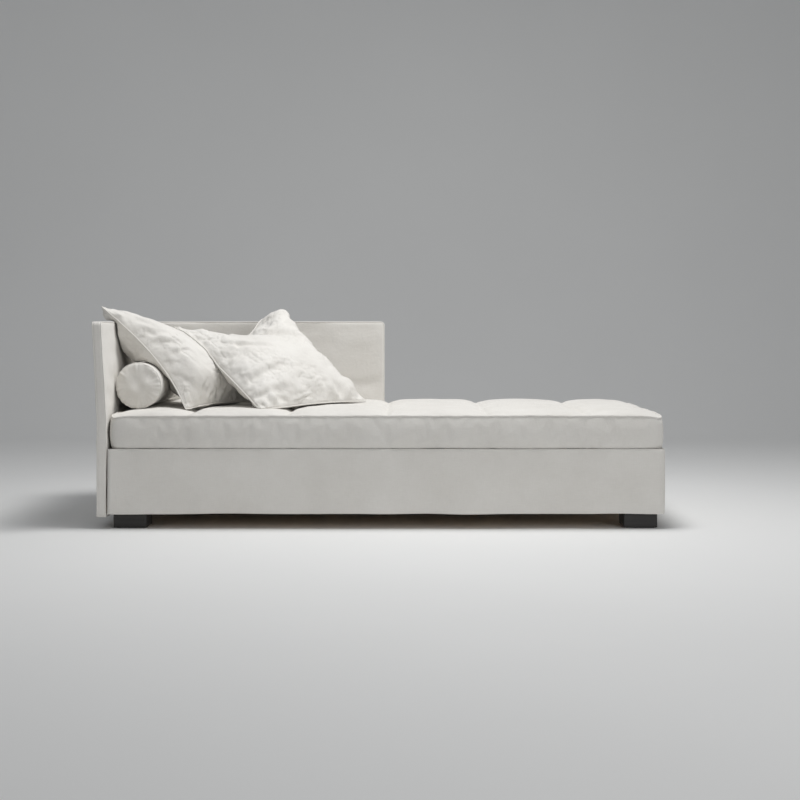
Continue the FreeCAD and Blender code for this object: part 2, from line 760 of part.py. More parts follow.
def slat_shapes():
    """Sprung slats, bowed up in the middle, and the end caps that hold them on the side tubes."""
    low = size("slat_bottom")
    thick = size("slat_thickness")
    wall = size("cap_wall")
    fit = size("slat_fit")
    y0 = size("tube_front") + wall
    y1 = size("tube_back") - wall
    middle = (y0 + y1) / 2
    slats, caps = [], []
    for i in range(SLATS):
        x = size("slat_first") + i * size("slat_pitch")
        up = low + thick
        bowed = size("slat_bow")
        outline = [arc(spot(x, y0, low), spot(x, middle, low + bowed), spot(x, y1, low)),
                   Part.makeLine(spot(x, y1, low), spot(x, y1, up)),
                   arc(spot(x, y1, up), spot(x, middle, up + bowed), spot(x, y0, up)),
                   Part.makeLine(spot(x, y0, up), spot(x, y0, low))]
        slats.append(Part.Face(Part.Wire(outline)).extrude(spot(size("slat_width"), 0, 0)))
        pocket = Part.makeBox(size("slat_width") + 2 * fit, y1 - y0, thick + fit, spot(x - fit, y0, low))
        for start in (y0 - wall, y1 + wall - size("cap_length")):
            case = Part.makeBox(size("slat_width") + 2 * (wall + fit), size("cap_length"), thick + 2 * wall,
                                spot(x - wall - fit, start, low - wall))
            caps.append(case.cut(pocket))
    return Part.Compound(slats), Part.Compound(caps)


slat_bundle, cap_bundle = slat_shapes()
formed(slat_bundle, "slats")
formed(cap_bundle, "slat_caps")

strap_y = layer("front", "tube_offset + tube_size", "tube_offset + tube_size + strap_thickness")
strap_x = "(x_head + x_foot) / 2 + slat_width"
keep(box(strap_x, strap_x + " + strap_width", *strap_y, "tube_bottom - strap_drop", "tube_top"), "pull_strap")


# Soft pieces
def mattress_section(along, crown, shrink):
    """One upright slice across the mattress: flat base, drawn-in borders, crowned top."""
    x = size("x_head") + along
    bottom = size("mattress_bottom") + shrink
    seam = size("mattress_seam") - shrink
    front = size("y_front") + shrink
    back = size("y_back") - shrink
    draw = size("border_draw")
    half = (bottom + seam) / 2
    middle = (front + back) / 2
    edges = [Part.makeLine(spot(x, back - draw, bottom), spot(x, front + draw, bottom)),
             arc(spot(x, front + draw, bottom), spot(x, front, half), spot(x, front + draw, seam)),
             arc(spot(x, front + draw, seam), spot(x, middle, seam + crown), spot(x, back - draw, seam)),
             arc(spot(x, back - draw, seam), spot(x, back, half), spot(x, back - draw, bottom))]
    return Part.Wire(edges)


def mattress_shape():
    """A quilted mattress: lobes across its width between sewn channels."""
    length = size("base_length")
    crown = size("mattress_crown")
    low = crown - size("channel_drop")
    half_channel = size("channel_width") / 2
    end = size("mattress_end_round")
    sections = [(0, low / 2, end / 3), (end / 2, low, 1), (end, (low + crown) / 2, 0), (2 * end, crown, 0)]
    for i in range(CHANNELS):
        line = size("channel_first") + i * size("channel_pitch")
        rise = (low + crown) / 2
        sections += [(line - 3 * half_channel, crown, 0), (line - half_channel, rise, 0), (line, low, 0),
                     (line + half_channel, rise, 0), (line + 3 * half_channel, crown, 0)]
    sections += [(length - 2 * end, crown, 0), (length - end, (low + crown) / 2, 0),
                 (length - end / 2, low, 1), (length, low / 2, end / 3)]
    return Part.makeLoft([mattress_section(*section) for section in sections], True, True)


def bolster_shape(extra):
    """A round bolster along Y with soft ends, or the room that it takes with something added all round."""
    radius = size("bolster_radius") + extra
    start = size("y_front") + size("bolster_setback") - extra
    length = size("bolster_length") + 2 * extra
    soft = size("bolster_end_round")
    x = size("bolster_x")
    z = size("bolster_z")
    lean = soft * (1 - math.sqrt(0.5))

    def at(out, along):
        return spot(x, start + along, z + out)
    outline = [Part.makeLine(at(0, 0), at(radius - soft, 0)),
               arc(at(radius - soft, 0), at(radius - lean, lean), at(radius, soft)),
               Part.makeLine(at(radius, soft), at(radius, length - soft)),
               arc(at(radius, length - soft), at(radius - lean, length - lean), at(radius - soft, length)),
               Part.makeLine(at(radius - soft, length), at(0, length)),
               Part.makeLine(at(0, length), at(0, 0))]
    return Part.Face(Part.Wire(outline)).revolve(spot(x, start, z), spot(0, 1, 0), 360)


def cushion_shape(name, extra):
    """A square scatter cushion: crowned both ways, thin at its seam, with sides that draw in."""
    half = size(name + "_side") / 2
    edge = size("cushion_edge") + extra
    wires = []
    for share in (-1, -0.85, -0.5, 0, 0.5, 0.85, 1):
        fullness = math.sqrt(1 - share * share)
        width = half - size("cushion_draw") * (1 - share * share)
        x = share * half
        front = edge + size(name + "_front") * fullness
        back = edge + size(name + "_back") * fullness
        wires.append(Part.Wire([arc(spot(x, -width, 0), spot(x, 0, front), spot(x, width, 0)),
                                arc(spot(x, width, 0), spot(x, 0, -back), spot(x, -width, 0))]))
    shape = Part.makeLoft(wires, True, False)
    shape.rotate(spot(0, 0, 0), spot(0, 0, 1), size(name + "_turn_angle"))
    shape.rotate(spot(0, 0, 0), spot(1, 0, 0), size(name + "_slope_angle"))
    shape.rotate(spot(0, 0, 0), spot(0, 0, 1), size(name + "_heading_angle"))
    shape.translate(spot(size("x_head") + size(name + "_inset"), size("y_front") + size(name + "_depth"),
                         size("mattress_seam") + size(name + "_height")))
    return shape


def largest(shape):
    """The biggest solid of a shape."""
    return max(shape.Solids, key=lambda solid: solid.Volume)


def raised(shape, lift):
    """A copy of a shape moved up."""
    copy = shape.copy()
    copy.translate(spot(0, 0, lift))
    return copy


gap = size("cushion_gap")
mattress = mattress_shape()
formed(mattress, "mattress")
formed(bolster_shape(0), "bolster")
doc.recompute()
headboard_rooms = [shape.copy() for shape in (headboard_body.Shape, headboard_body.Shape)]
headboard_rooms[0].translate(spot(gap, 0, 0))
headboard_rooms[1].translate(spot(0, 0, gap))
left_room = cushion_shape("left_cushion", 0)
left_cushion = left_room.cut([bolster_shape(gap), raised(mattress, gap)] + headboard_rooms)
formed(largest(left_cushion), "left_cushion")
back_space = back_body.Shape.copy()
back_space.translate(spot(0, -gap, 0))
right_cushion = cushion_shape("right_cushion", 0)
right_cushion = right_cushion.cut([cushion_shape("left_cushion", 2 * gap), raised(mattress, gap), back_space])
formed(largest(right_cushion), "right_cushion")

doc.recompute()
for thing in doc.Objects:
    if "Invalid" in thing.State or "Error" in thing.State:
        raise RuntimeError("%s (%s) did not build: %s" % (thing.Name, thing.Label, thing.State))
for thing in pieces:
    if thing.Shape.isNull() or not thing.Shape.isValid():
        raise RuntimeError("%s has no valid shape" % thing.Label)
os.makedirs("parts", exist_ok=True)
for thing in pieces:
    thing.Shape.exportStep("parts/%s.step" % thing.Label)
print("%d sub-parts written" % len(pieces))
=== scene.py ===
"""Looks of the storage sofa bed: linen covers, quilted mattress, bolster and cushions round the CAD frame.

Metres, in the CAD frame: +X from the headboard to the foot end, +Y to the rear, +Z up.
"""
import json
import math

import bpy
import numpy as np
from mathutils import Matrix, Vector
from mathutils.bvhtree import BVHTree


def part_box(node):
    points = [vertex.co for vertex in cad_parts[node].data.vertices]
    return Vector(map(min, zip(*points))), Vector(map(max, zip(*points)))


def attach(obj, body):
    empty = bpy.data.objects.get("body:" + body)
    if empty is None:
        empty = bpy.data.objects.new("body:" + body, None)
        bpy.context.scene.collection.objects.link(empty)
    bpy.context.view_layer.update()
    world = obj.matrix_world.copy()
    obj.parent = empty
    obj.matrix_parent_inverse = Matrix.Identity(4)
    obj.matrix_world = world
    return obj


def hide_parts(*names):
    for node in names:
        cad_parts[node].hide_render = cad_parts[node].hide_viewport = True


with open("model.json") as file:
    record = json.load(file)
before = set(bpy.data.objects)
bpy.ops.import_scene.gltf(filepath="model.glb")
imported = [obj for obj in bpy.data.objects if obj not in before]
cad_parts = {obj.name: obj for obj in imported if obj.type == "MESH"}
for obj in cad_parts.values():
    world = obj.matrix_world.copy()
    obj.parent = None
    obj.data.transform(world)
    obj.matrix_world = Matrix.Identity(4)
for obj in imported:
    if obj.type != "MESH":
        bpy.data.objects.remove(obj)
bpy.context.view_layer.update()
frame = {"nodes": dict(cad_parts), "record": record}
SCENE = bpy.context.scene

# Places and sizes that repeat the CAD source
X_HEAD, X_FOOT = -0.969, 1.031
Y_FRONT, Y_BACK = -0.472, 0.428
MATTRESS_BOTTOM, MATTRESS_SEAM = 0.286, 0.403
CROWN, VALLEY = 0.018, 0.004
CHANNELS = [X_HEAD + 0.280 + 0.360 * i for i in range(5)]
HEADBOARD_OUTER, HEADBOARD_INNER = -1.013, -0.970
LEAN_START, PANEL_TOP, PANEL_BOTTOM, LEAN = 0.403, 0.743, 0.043, 0.018
BACK_FACE, BACK_REAR, BACK_END = 0.429, 0.472, X_HEAD + 0.983
BOLSTER_RADIUS = 0.084

# Radii of the piping cords
MATTRESS_CORD, BOLSTER_CORD, CUSHION_CORD = 0.0032, 0.0022, 0.0028
BASE_CORD, CORNER_CORD, PANEL_CORD = 0.0022, 0.0020, 0.0023
CORD_SIDES = 8
TINY = 1e-9


# Helpers
def mesh_object(name, points, faces):
    """A smooth-shaded mesh object from points and faces."""
    mesh = bpy.data.meshes.new(name)
    mesh.from_pydata([tuple(p) for p in points], [], faces)
    mesh.update()
    obj = bpy.data.objects.new(name, mesh)
    SCENE.collection.objects.link(obj)
    mesh.polygons.foreach_set("use_smooth", [True] * len(mesh.polygons))
    return obj


def vertex_values(mesh, what):
    """One vector for each vertex of a mesh: its place or its normal."""
    flat = np.zeros(len(mesh.vertices) * 3)
    mesh.vertices.foreach_get(what, flat)
    return flat.reshape(-1, 3)


def coords(obj):
    """The vertices of an object's own mesh."""
    return vertex_values(obj.data, "co")


def normals(obj):
    """The vertex normals of an object's own mesh."""
    return vertex_values(obj.data, "normal")


def set_coords(obj, points):
    """Move the vertices of an object's own mesh."""
    obj.data.vertices.foreach_set("co", np.asarray(points, float).ravel())
    obj.data.update()


def folds(points, seed, wavelength, stretch=(1, 1, 1), count=24):
    """Smooth seeded noise with a spread of about 1; stretch lengthens its waves along an axis."""
    rng = np.random.default_rng(seed)
    total = np.zeros(len(points))
    for _ in range(count):
        direction = rng.normal(size=3)
        direction /= np.linalg.norm(direction)
        wave = direction / np.array(stretch) * math.tau / (wavelength * rng.uniform(0.7, 1.6))
        total += np.sin(points @ wave + rng.uniform(0, math.tau))
    return total / math.sqrt(count / 2)


def smooth_step(value, low, high):
    """0 below low, 1 above high, with an even ramp between."""
    t = np.clip((value - low) / (high - low), 0, 1)
    return t * t * (3 - 2 * t)


def bell(value, width):
    """1 where a value is 0, falling to 0 beyond a few widths."""
    return np.exp(-(value / width) ** 2)


def plump(obj, pinned, pressure, frames, cap, grow=0.0, bending=0.4, mass=0.3, drag=1.0):
    """Blow up a closed piece as cloth, some of its vertices held, and keep the result in its mesh."""
    rest = coords(obj)
    held = obj.vertex_groups.new(name="held")
    held.add([int(i) for i in pinned], 1.0, "REPLACE")
    cloth = obj.modifiers.new("Cloth", "CLOTH")
    settings = cloth.settings
    settings.quality = 6
    settings.mass = mass
    settings.air_damping = drag
    settings.tension_stiffness = settings.compression_stiffness = 18
    settings.shear_stiffness = 6
    settings.bending_stiffness = bending
    settings.use_pressure = True
    settings.uniform_pressure_force = pressure
    settings.effector_weights.gravity = 0
    settings.shrink_min = -grow
    settings.vertex_group_mass = "held"
    cloth.collision_settings.use_collision = False
    cloth.point_cache.frame_start = 1
    cloth.point_cache.frame_end = frames
    for frame_number in range(1, frames + 1):
        SCENE.frame_set(frame_number)
    evaluated = obj.evaluated_get(bpy.context.evaluated_depsgraph_get())
    moved = vertex_values(evaluated.data, "co") - rest
    obj.modifiers.remove(cloth)
    SCENE.frame_set(1)
    length = np.linalg.norm(moved, axis=1)
    moved *= (np.minimum(length, cap) / np.maximum(length, TINY))[:, None]
    set_coords(obj, rest + moved)


def refine(obj):
    """Subdivide an object's mesh once, for good."""
    modifier = obj.modifiers.new("Refine", "SUBSURF")
    modifier.levels = modifier.render_levels = 1
    evaluated = obj.evaluated_get(bpy.context.evaluated_depsgraph_get())
    mesh = bpy.data.meshes.new_from_object(evaluated)
    obj.modifiers.remove(modifier)
    obj.data = mesh
    mesh.polygons.foreach_set("use_smooth", [True] * len(mesh.polygons))


def search_tree(obj):
    """A search tree of a piece's mesh, for rays cast at it."""
    faces = [tuple(p.vertices) for p in obj.data.polygons]
    return BVHTree.FromPolygons([Vector(p) for p in coords(obj)], faces)


def edge_ends(obj):
    """The two vertices of each edge of a mesh."""
    ends = np.zeros(len(obj.data.edges) * 2, int)
    obj.data.edges.foreach_get("vertices", ends)
    return ends.reshape(-1, 2)


def smoothed(path, rounds):
    """A closed row of points with its small jumps evened out."""
    for _ in range(rounds):
        path = 0.5 * path + 0.25 * np.roll(path, 1, 0) + 0.25 * np.roll(path, -1, 0)
    return path


def ring_faces(count, around, closed=False):
    """Faces of a tube of rings, with end caps unless it closes on itself."""
    faces = []
    for i in range(count if closed else count - 1):
        here, there = i * around, (i + 1) % count * around
        for k in range(around):
            m = (k + 1) % around
            faces.append((here + k, here + m, there + m, there + k))
    if not closed:
        faces.append(tuple(range(around - 1, -1, -1)))
        faces.append(tuple((count - 1) * around + k for k in range(around)))
    return faces


def dress(obj, body, material, *nodes):
    """Ride on a body, take a linen material and stand for CAD nodes."""
    obj.data.materials.clear()
    obj.data.materials.append(material)
    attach(obj, body)
    if nodes:
        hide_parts(*nodes)


def piping(name, path, radius, body, material, closed=True):
    """A piping cord: a mesh tube along a row of points."""
    path = np.asarray(path, float)
    count = len(path)
    ahead = np.roll(path, -1, 0) - np.roll(path, 1, 0)
    if not closed:
        ahead[0] = path[1] - path[0]
        ahead[-1] = path[-1] - path[-2]
    ahead /= np.linalg.norm(ahead, axis=1)[:, None]
    any_direction = (0.31, 0.17, 0.93)
    side = np.cross(ahead[0], any_direction)
    points = []
    for i in range(count):
        side = side - ahead[i] * (side @ ahead[i])
        side /= np.linalg.norm(side)
        up = np.cross(ahead[i], side)
        for k in range(CORD_SIDES):
            angle = math.tau * k / CORD_SIDES
            points.append(path[i] + radius * (math.cos(angle) * side + math.sin(angle) * up))
    dress(mesh_object(name, points, ring_faces(count, CORD_SIDES, closed)), body, material)


# Materials
def new_material(name):
    """A material with its node tree and shader."""
    material = bpy.data.materials.new(name)
    material.use_nodes = True
    tree = material.node_tree
    return material, tree, tree.nodes["Principled BSDF"]


def add_node(tree, kind, inputs=None, **values):
    """A node with set properties; inputs are values or sockets to link from."""
    node = tree.nodes.new(kind)
    for name, value in values.items():
        setattr(node, name, value)
    for name, value in (inputs or {}).items():
        if isinstance(value, bpy.types.NodeSocket):
            tree.links.new(value, node.inputs[name])
        else:
            node.inputs[name].default_value = value
    return node


def object_coordinates(tree, scale, turn=(0, 0, 0)):
    """The piece's own coordinates, turned to its cloth and scaled per axis."""
    place = add_node(tree, "ShaderNodeTexCoord").outputs["Object"]
    if any(turn):
        place = add_node(tree, "ShaderNodeMapping", {"Vector": place, "Rotation": turn}).outputs["Vector"]
    return add_node(tree, "ShaderNodeMapping", {"Vector": place, "Scale": scale}).outputs["Vector"]


def noise(tree, place, detail, scale=1.0, distortion=0.0):
    """Cloudy noise over coordinates."""
    values = {"Vector": place, "Scale": scale, "Detail": detail, "Distortion": distortion}
    return add_node(tree, "ShaderNodeTexNoise", values).outputs["Fac"]


def math_node(tree, operation, first, second):
    """The result of one sum."""
    return add_node(tree, "ShaderNodeMath", {0: first, 1: second}, operation=operation).outputs["Value"]


def weighted(tree, first, first_share, second, second_share):
    """Two values added, each times its share."""
    first_part = math_node(tree, "MULTIPLY", first, first_share)
    second_part = math_node(tree, "MULTIPLY", second, second_share)
    return math_node(tree, "ADD", first_part, second_part)


def total_of(tree, values):
    """Several values added."""
    total = values[0]
    for value in values[1:]:
        total = math_node(tree, "ADD", total, value)
    return total


def ramp(tree, factor, low, high, start=0.0, end=1.0):
    """A colour that goes from low to high."""
    node = add_node(tree, "ShaderNodeValToRGB", {"Fac": factor})
    first, last = node.color_ramp.elements
    first.position, first.color = start, (*low, 1)
    last.position, last.color = end, (*high, 1)
    return node.outputs["Color"]


def set_roughness(tree, shader, value, low, high, start=0.0, end=1.0):
    """Roughness that goes from low to high with a value."""
    values = {"Value": value, "From Min": start, "From Max": end, "To Min": low, "To Max": high}
    node = add_node(tree, "ShaderNodeMapRange", values)
    tree.links.new(node.outputs["Result"], shader.inputs["Roughness"])


def linen(name, light, dark, thread=0.0011, turn=(0, 0, 0), crumpled=0.0022):
    """Natural linen: plain weave with slubs, slight colour drift, crumples and a soft sheen."""
    material, tree, shader = new_material(name)
    place = object_coordinates(tree, (1, 1, 1), turn)
    bands_per_metre = 1 / (thread * 3.2)
    weave_values = {"Vector": place, "Scale": bands_per_metre, "Distortion": 1.2, "Detail": 1.0,
                    "Detail Scale": 0.6}
    weave = total_of(tree, [
        add_node(tree, "ShaderNodeTexWave", weave_values, wave_type="BANDS",
                 bands_direction=direction).outputs["Fac"] for direction in ("X", "Y", "Z")])
    slubs = total_of(tree, [noise(tree, object_coordinates(tree, stretch, turn), 3.0)
                            for stretch in ((40, 700, 700), (700, 700, 40), (700, 40, 700))])
    drift = noise(tree, place, 4.0, scale=7.0)
    tone = weighted(tree, slubs, 0.22, drift, 0.4)
    tree.links.new(ramp(tree, tone, dark, light, 0.35, 0.72), shader.inputs["Base Color"])
    crumple = noise(tree, place, 5.0, scale=38.0, distortion=0.9)
    soft = add_node(tree, "ShaderNodeBump", {"Height": crumple, "Strength": 0.55, "Distance": crumpled})
    height = math_node(tree, "ADD", weave, math_node(tree, "MULTIPLY", slubs, 1.6))
    bump = add_node(tree, "ShaderNodeBump", {"Height": height, "Strength": 0.4, "Distance": 0.0004,
                                             "Normal": soft.outputs["Normal"]})
    tree.links.new(bump.outputs["Normal"], shader.inputs["Normal"])
    set_roughness(tree, shader, slubs, 0.9, 1.0, start=1.1, end=1.9)
    shader.inputs["Sheen Weight"].default_value = 0.15
    shader.inputs["Sheen Roughness"].default_value = 0.5
    shader.inputs["Specular IOR Level"].default_value = 0.12
    return material


def along_grain(grain, across, along):
    """Scales per axis, finer across the grain than along it."""
    return [along if axis == grain else across for axis in "XYZ"]


def timber(name, light, dark, grain, gloss=0.55):
    """Planed timber with its grain along one axis."""
    material, tree, shader = new_material(name)
    rings = noise(tree, object_coordinates(tree, along_grain(grain, 22.0, 1.6)), 5.0, distortion=0.6)
    pores = noise(tree, object_coordinates(tree, along_grain(grain, 420.0, 14.0)), 2.0)
    tone = weighted(tree, rings, 0.8, pores, 0.2)
    tree.links.new(ramp(tree, tone, dark, light, 0.3, 0.68), shader.inputs["Base Color"])
    bump = add_node(tree, "ShaderNodeBump", {"Height": tone, "Strength": 0.2, "Distance": 0.0005})
    tree.links.new(bump.outputs["Normal"], shader.inputs["Normal"])
    set_roughness(tree, shader, pores, gloss - 0.1, gloss + 0.12)
    return material


def grained(name, light, dark, scale, metallic, rough, bump, depth=0.0002):
    """A finely mottled surface: powder coat, zinc plate, moulded plastic, rubber or felt."""
    material, tree, shader = new_material(name)
    mottle = noise(tree, object_coordinates(tree, (scale, scale, scale)), 4.0)
    broad = noise(tree, object_coordinates(tree, (14, 14, 14)), 3.0)
    tone = weighted(tree, mottle, 0.5, broad, 0.5)
    tree.links.new(ramp(tree, tone, dark, light, 0.3, 0.7), shader.inputs["Base Color"])
    node = add_node(tree, "ShaderNodeBump", {"Height": mottle, "Strength": bump, "Distance": depth})
    tree.links.new(node.outputs["Normal"], shader.inputs["Normal"])
    set_roughness(tree, shader, mottle, *rough)
    shader.inputs["Metallic"].default_value = metallic
    return material


LINEN_TONES = ((0.84, 0.82, 0.78), (0.73, 0.705, 0.66))
PINE_TONES = ((0.74, 0.56, 0.36), (0.55, 0.37, 0.2))
LINEN = linen("linen", *LINEN_TONES)
MATERIALS = {
    "black_wood": timber("black_wood", (0.035, 0.032, 0.03), (0.012, 0.011, 0.01), "X", 0.5),
    "beech": timber("beech", (0.8, 0.63, 0.43), (0.66, 0.47, 0.29), "Y", 0.4),
    "webbing": linen("webbing", (0.66, 0.62, 0.55), (0.5, 0.46, 0.4), 0.0018),
}
for grain_axis in "XYZ":
    pine_name = "pine_" + grain_axis.lower()
    MATERIALS[pine_name] = timber(pine_name, *PINE_TONES, grain_axis)

# Light and dark tone, grain per metre, metallic, roughness range, bump strength and, if deep, bump depth
GRAINED = {
    "fibreboard": ((0.6, 0.46, 0.31), (0.46, 0.33, 0.21), 260, 0.0, (0.6, 0.8), 0.1),
    "black_steel": ((0.04, 0.04, 0.042), (0.022, 0.022, 0.024), 900, 0.0, (0.42, 0.6), 0.25),
    "zinc_steel": ((0.66, 0.67, 0.68), (0.48, 0.49, 0.5), 120, 1.0, (0.28, 0.46), 0.05),
    "polished_steel": ((0.78, 0.79, 0.8), (0.68, 0.69, 0.7), 700, 1.0, (0.08, 0.18), 0.03),
    "black_plastic": ((0.05, 0.05, 0.05), (0.03, 0.03, 0.03), 800, 0.0, (0.5, 0.66), 0.15),
    "black_rubber": ((0.045, 0.045, 0.045), (0.025, 0.025, 0.025), 500, 0.0, (0.7, 0.88), 0.2),
    "felt": ((0.2, 0.19, 0.18), (0.1, 0.095, 0.09), 1400, 0.0, (0.9, 1.0), 0.5, 0.0006),
}
for grained_name, grained_values in GRAINED.items():
    MATERIALS[grained_name] = grained(grained_name, *grained_values)


def cad_material(node):
    """The material for a CAD node: timber takes the grain of its longest side."""
    slot = next(s["material_slot"] for s in frame["record"]["subparts"] if s["node"] == node)
    if slot == "pine":
        low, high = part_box(node)
        sizes = list(high - low)
        slot = "pine_" + "xyz"[sizes.index(max(sizes))]
    return MATERIALS.get(slot, LINEN)


for node_name, node_object in frame["nodes"].items():
    node_object.data.materials.clear()
    node_object.data.materials.append(cad_material(node_name))


# Mattress
MATTRESS_MIDDLE = np.array([(X_HEAD + X_FOOT) / 2, (Y_FRONT + Y_BACK) / 2])
MATTRESS_HALF = np.array([(X_FOOT - X_HEAD) / 2, (Y_BACK - Y_FRONT) / 2])
MATTRESS_CELL, BORDER_ROWS, PLAN_RADIUS = 0.011, 12, 0.026
MATTRESS_DRAW, STITCH_GROOVE, REAR_DIP = 0.007, 0.007, 0.005
CORNER_REACH, CORNER_DRAW, CORNER_SINK = 0.05, 0.007, 0.009
LOBE_REACH, LOBE_HALF, END_REACH, SIDE_REACH = 0.15, 0.18, 0.12, 0.11
RISE_BEFORE_FILLING = 0.8
MATTRESS_FILLING = {"pressure": 1.8, "frames": 14, "cap": 0.006, "grow": 0.008, "bending": 1.5}


def rounded_plan(plan):
    """Draw the corners of the mattress's plan in to quarter rounds."""
    off = plan - MATTRESS_MIDDLE
    straight = MATTRESS_HALF - PLAN_RADIUS
    over = np.maximum(np.abs(off) - straight, 0) / PLAN_RADIUS
    longest = np.maximum(over.max(1), TINY)
    diagonal = np.maximum(np.hypot(over[:, 0], over[:, 1]), TINY)
    shrink = np.where((over > 0).all(1), longest / diagonal, 1.0)[:, None]
    drawn = np.where(over > 0, straight + over * shrink * PLAN_RADIUS, np.abs(off))
    return MATTRESS_MIDDLE + drawn * np.sign(off)


def ring_of_grid(rows, columns):
    """The outer ring of a grid's indices, in order."""
    front = list(range(columns))
    right = [r * columns + columns - 1 for r in range(1, rows)]
    back = [(rows - 1) * columns + i for i in range(columns - 2, -1, -1)]
    left = [r * columns for r in range(rows - 2, 0, -1)]
    return front + right + back + left


def grid_quads(rows, columns):
    """The four corners of each cell of a grid of indices."""
    for r in range(rows - 1):
        for c in range(columns - 1):
            here, above = r * columns + c, (r + 1) * columns + c
            yield here, here + 1, above + 1, above


def channel_depth(x, width):
    """1 on a sewn channel, falling to 0 away from it."""
    nearest = np.abs(x[:, None] - np.array(CHANNELS)).min(1)
    return bell(nearest, width)


def grid_lines(low, high, keep):
    """Grid lines between two ends, about a cell apart, that pass through the kept places."""
    marks = [low] + list(keep) + [high]
    lines = []
    for a, b in zip(marks, marks[1:]):
        count = max(1, round((b - a) / MATTRESS_CELL))
        lines += [a + (b - a) * i / count for i in range(count)]
    return np.array(lines + [high])


def quarter_round(distance, reach):
    """Rise from 0 at an edge to 1 at a reach, steep at first as a filled cover is."""
    t = np.clip(distance / reach, 0, 1)
    return np.sqrt(np.maximum(1 - (1 - t) ** 2, 0))


def mattress_rise(x, y):
    """Height of the quilted top over its seam."""
    marks = np.array([X_HEAD] + CHANNELS + [X_FOOT])
    lobe = np.clip(np.searchsorted(marks, x, "right") - 1, 0, len(marks) - 2)
    from_mark = np.minimum(x - marks[lobe], marks[lobe + 1] - x)
    even = np.sin(np.clip(from_mark / LOBE_HALF, 0, 1) * math.pi / 2)
    full = 0.5 * quarter_round(from_mark, LOBE_REACH) + 0.5 * even
    ends = quarter_round(np.minimum(x - X_HEAD, X_FOOT - x), END_REACH)
    sides = quarter_round(np.minimum(y - Y_FRONT, Y_BACK - y), SIDE_REACH)
    return sides * ends * (VALLEY + (CROWN - VALLEY) * full)


def sewn_detail(points):
    """How far puckers, tucks, quilting and stitch lines move the mattress's cover outwards."""
    on_side = (np.abs(points[:, :2] - MATTRESS_MIDDLE) > MATTRESS_HALF - 0.015).any(1)
    near_top = bell(MATTRESS_SEAM - points[:, 2], 0.022) * on_side
    puckers = folds(points, 5, 0.030, (1, 1, 4)) * 0.0011 * near_top
    border = folds(points, 6, 0.16, (1, 1, 5)) * 0.0008 * on_side
    wandering = points[:, 0] + 0.02 * np.sin(40 * points[:, 2])
    tucks = -0.0030 * channel_depth(wandering, 0.006) * on_side
    quilt = folds(points, 7, 0.09, (1.5, 1, 1)) * 0.0009
    quilt += folds(points, 8, 0.034, (3, 1, 1)) * 0.0020 * channel_depth(points[:, 0], 0.035)
    quilt -= STITCH_GROOVE * channel_depth(points[:, 0], 0.009)
    quilt[on_side | (points[:, 2] < MATTRESS_SEAM - 0.01)] = 0
    return puckers + border + tucks + quilt


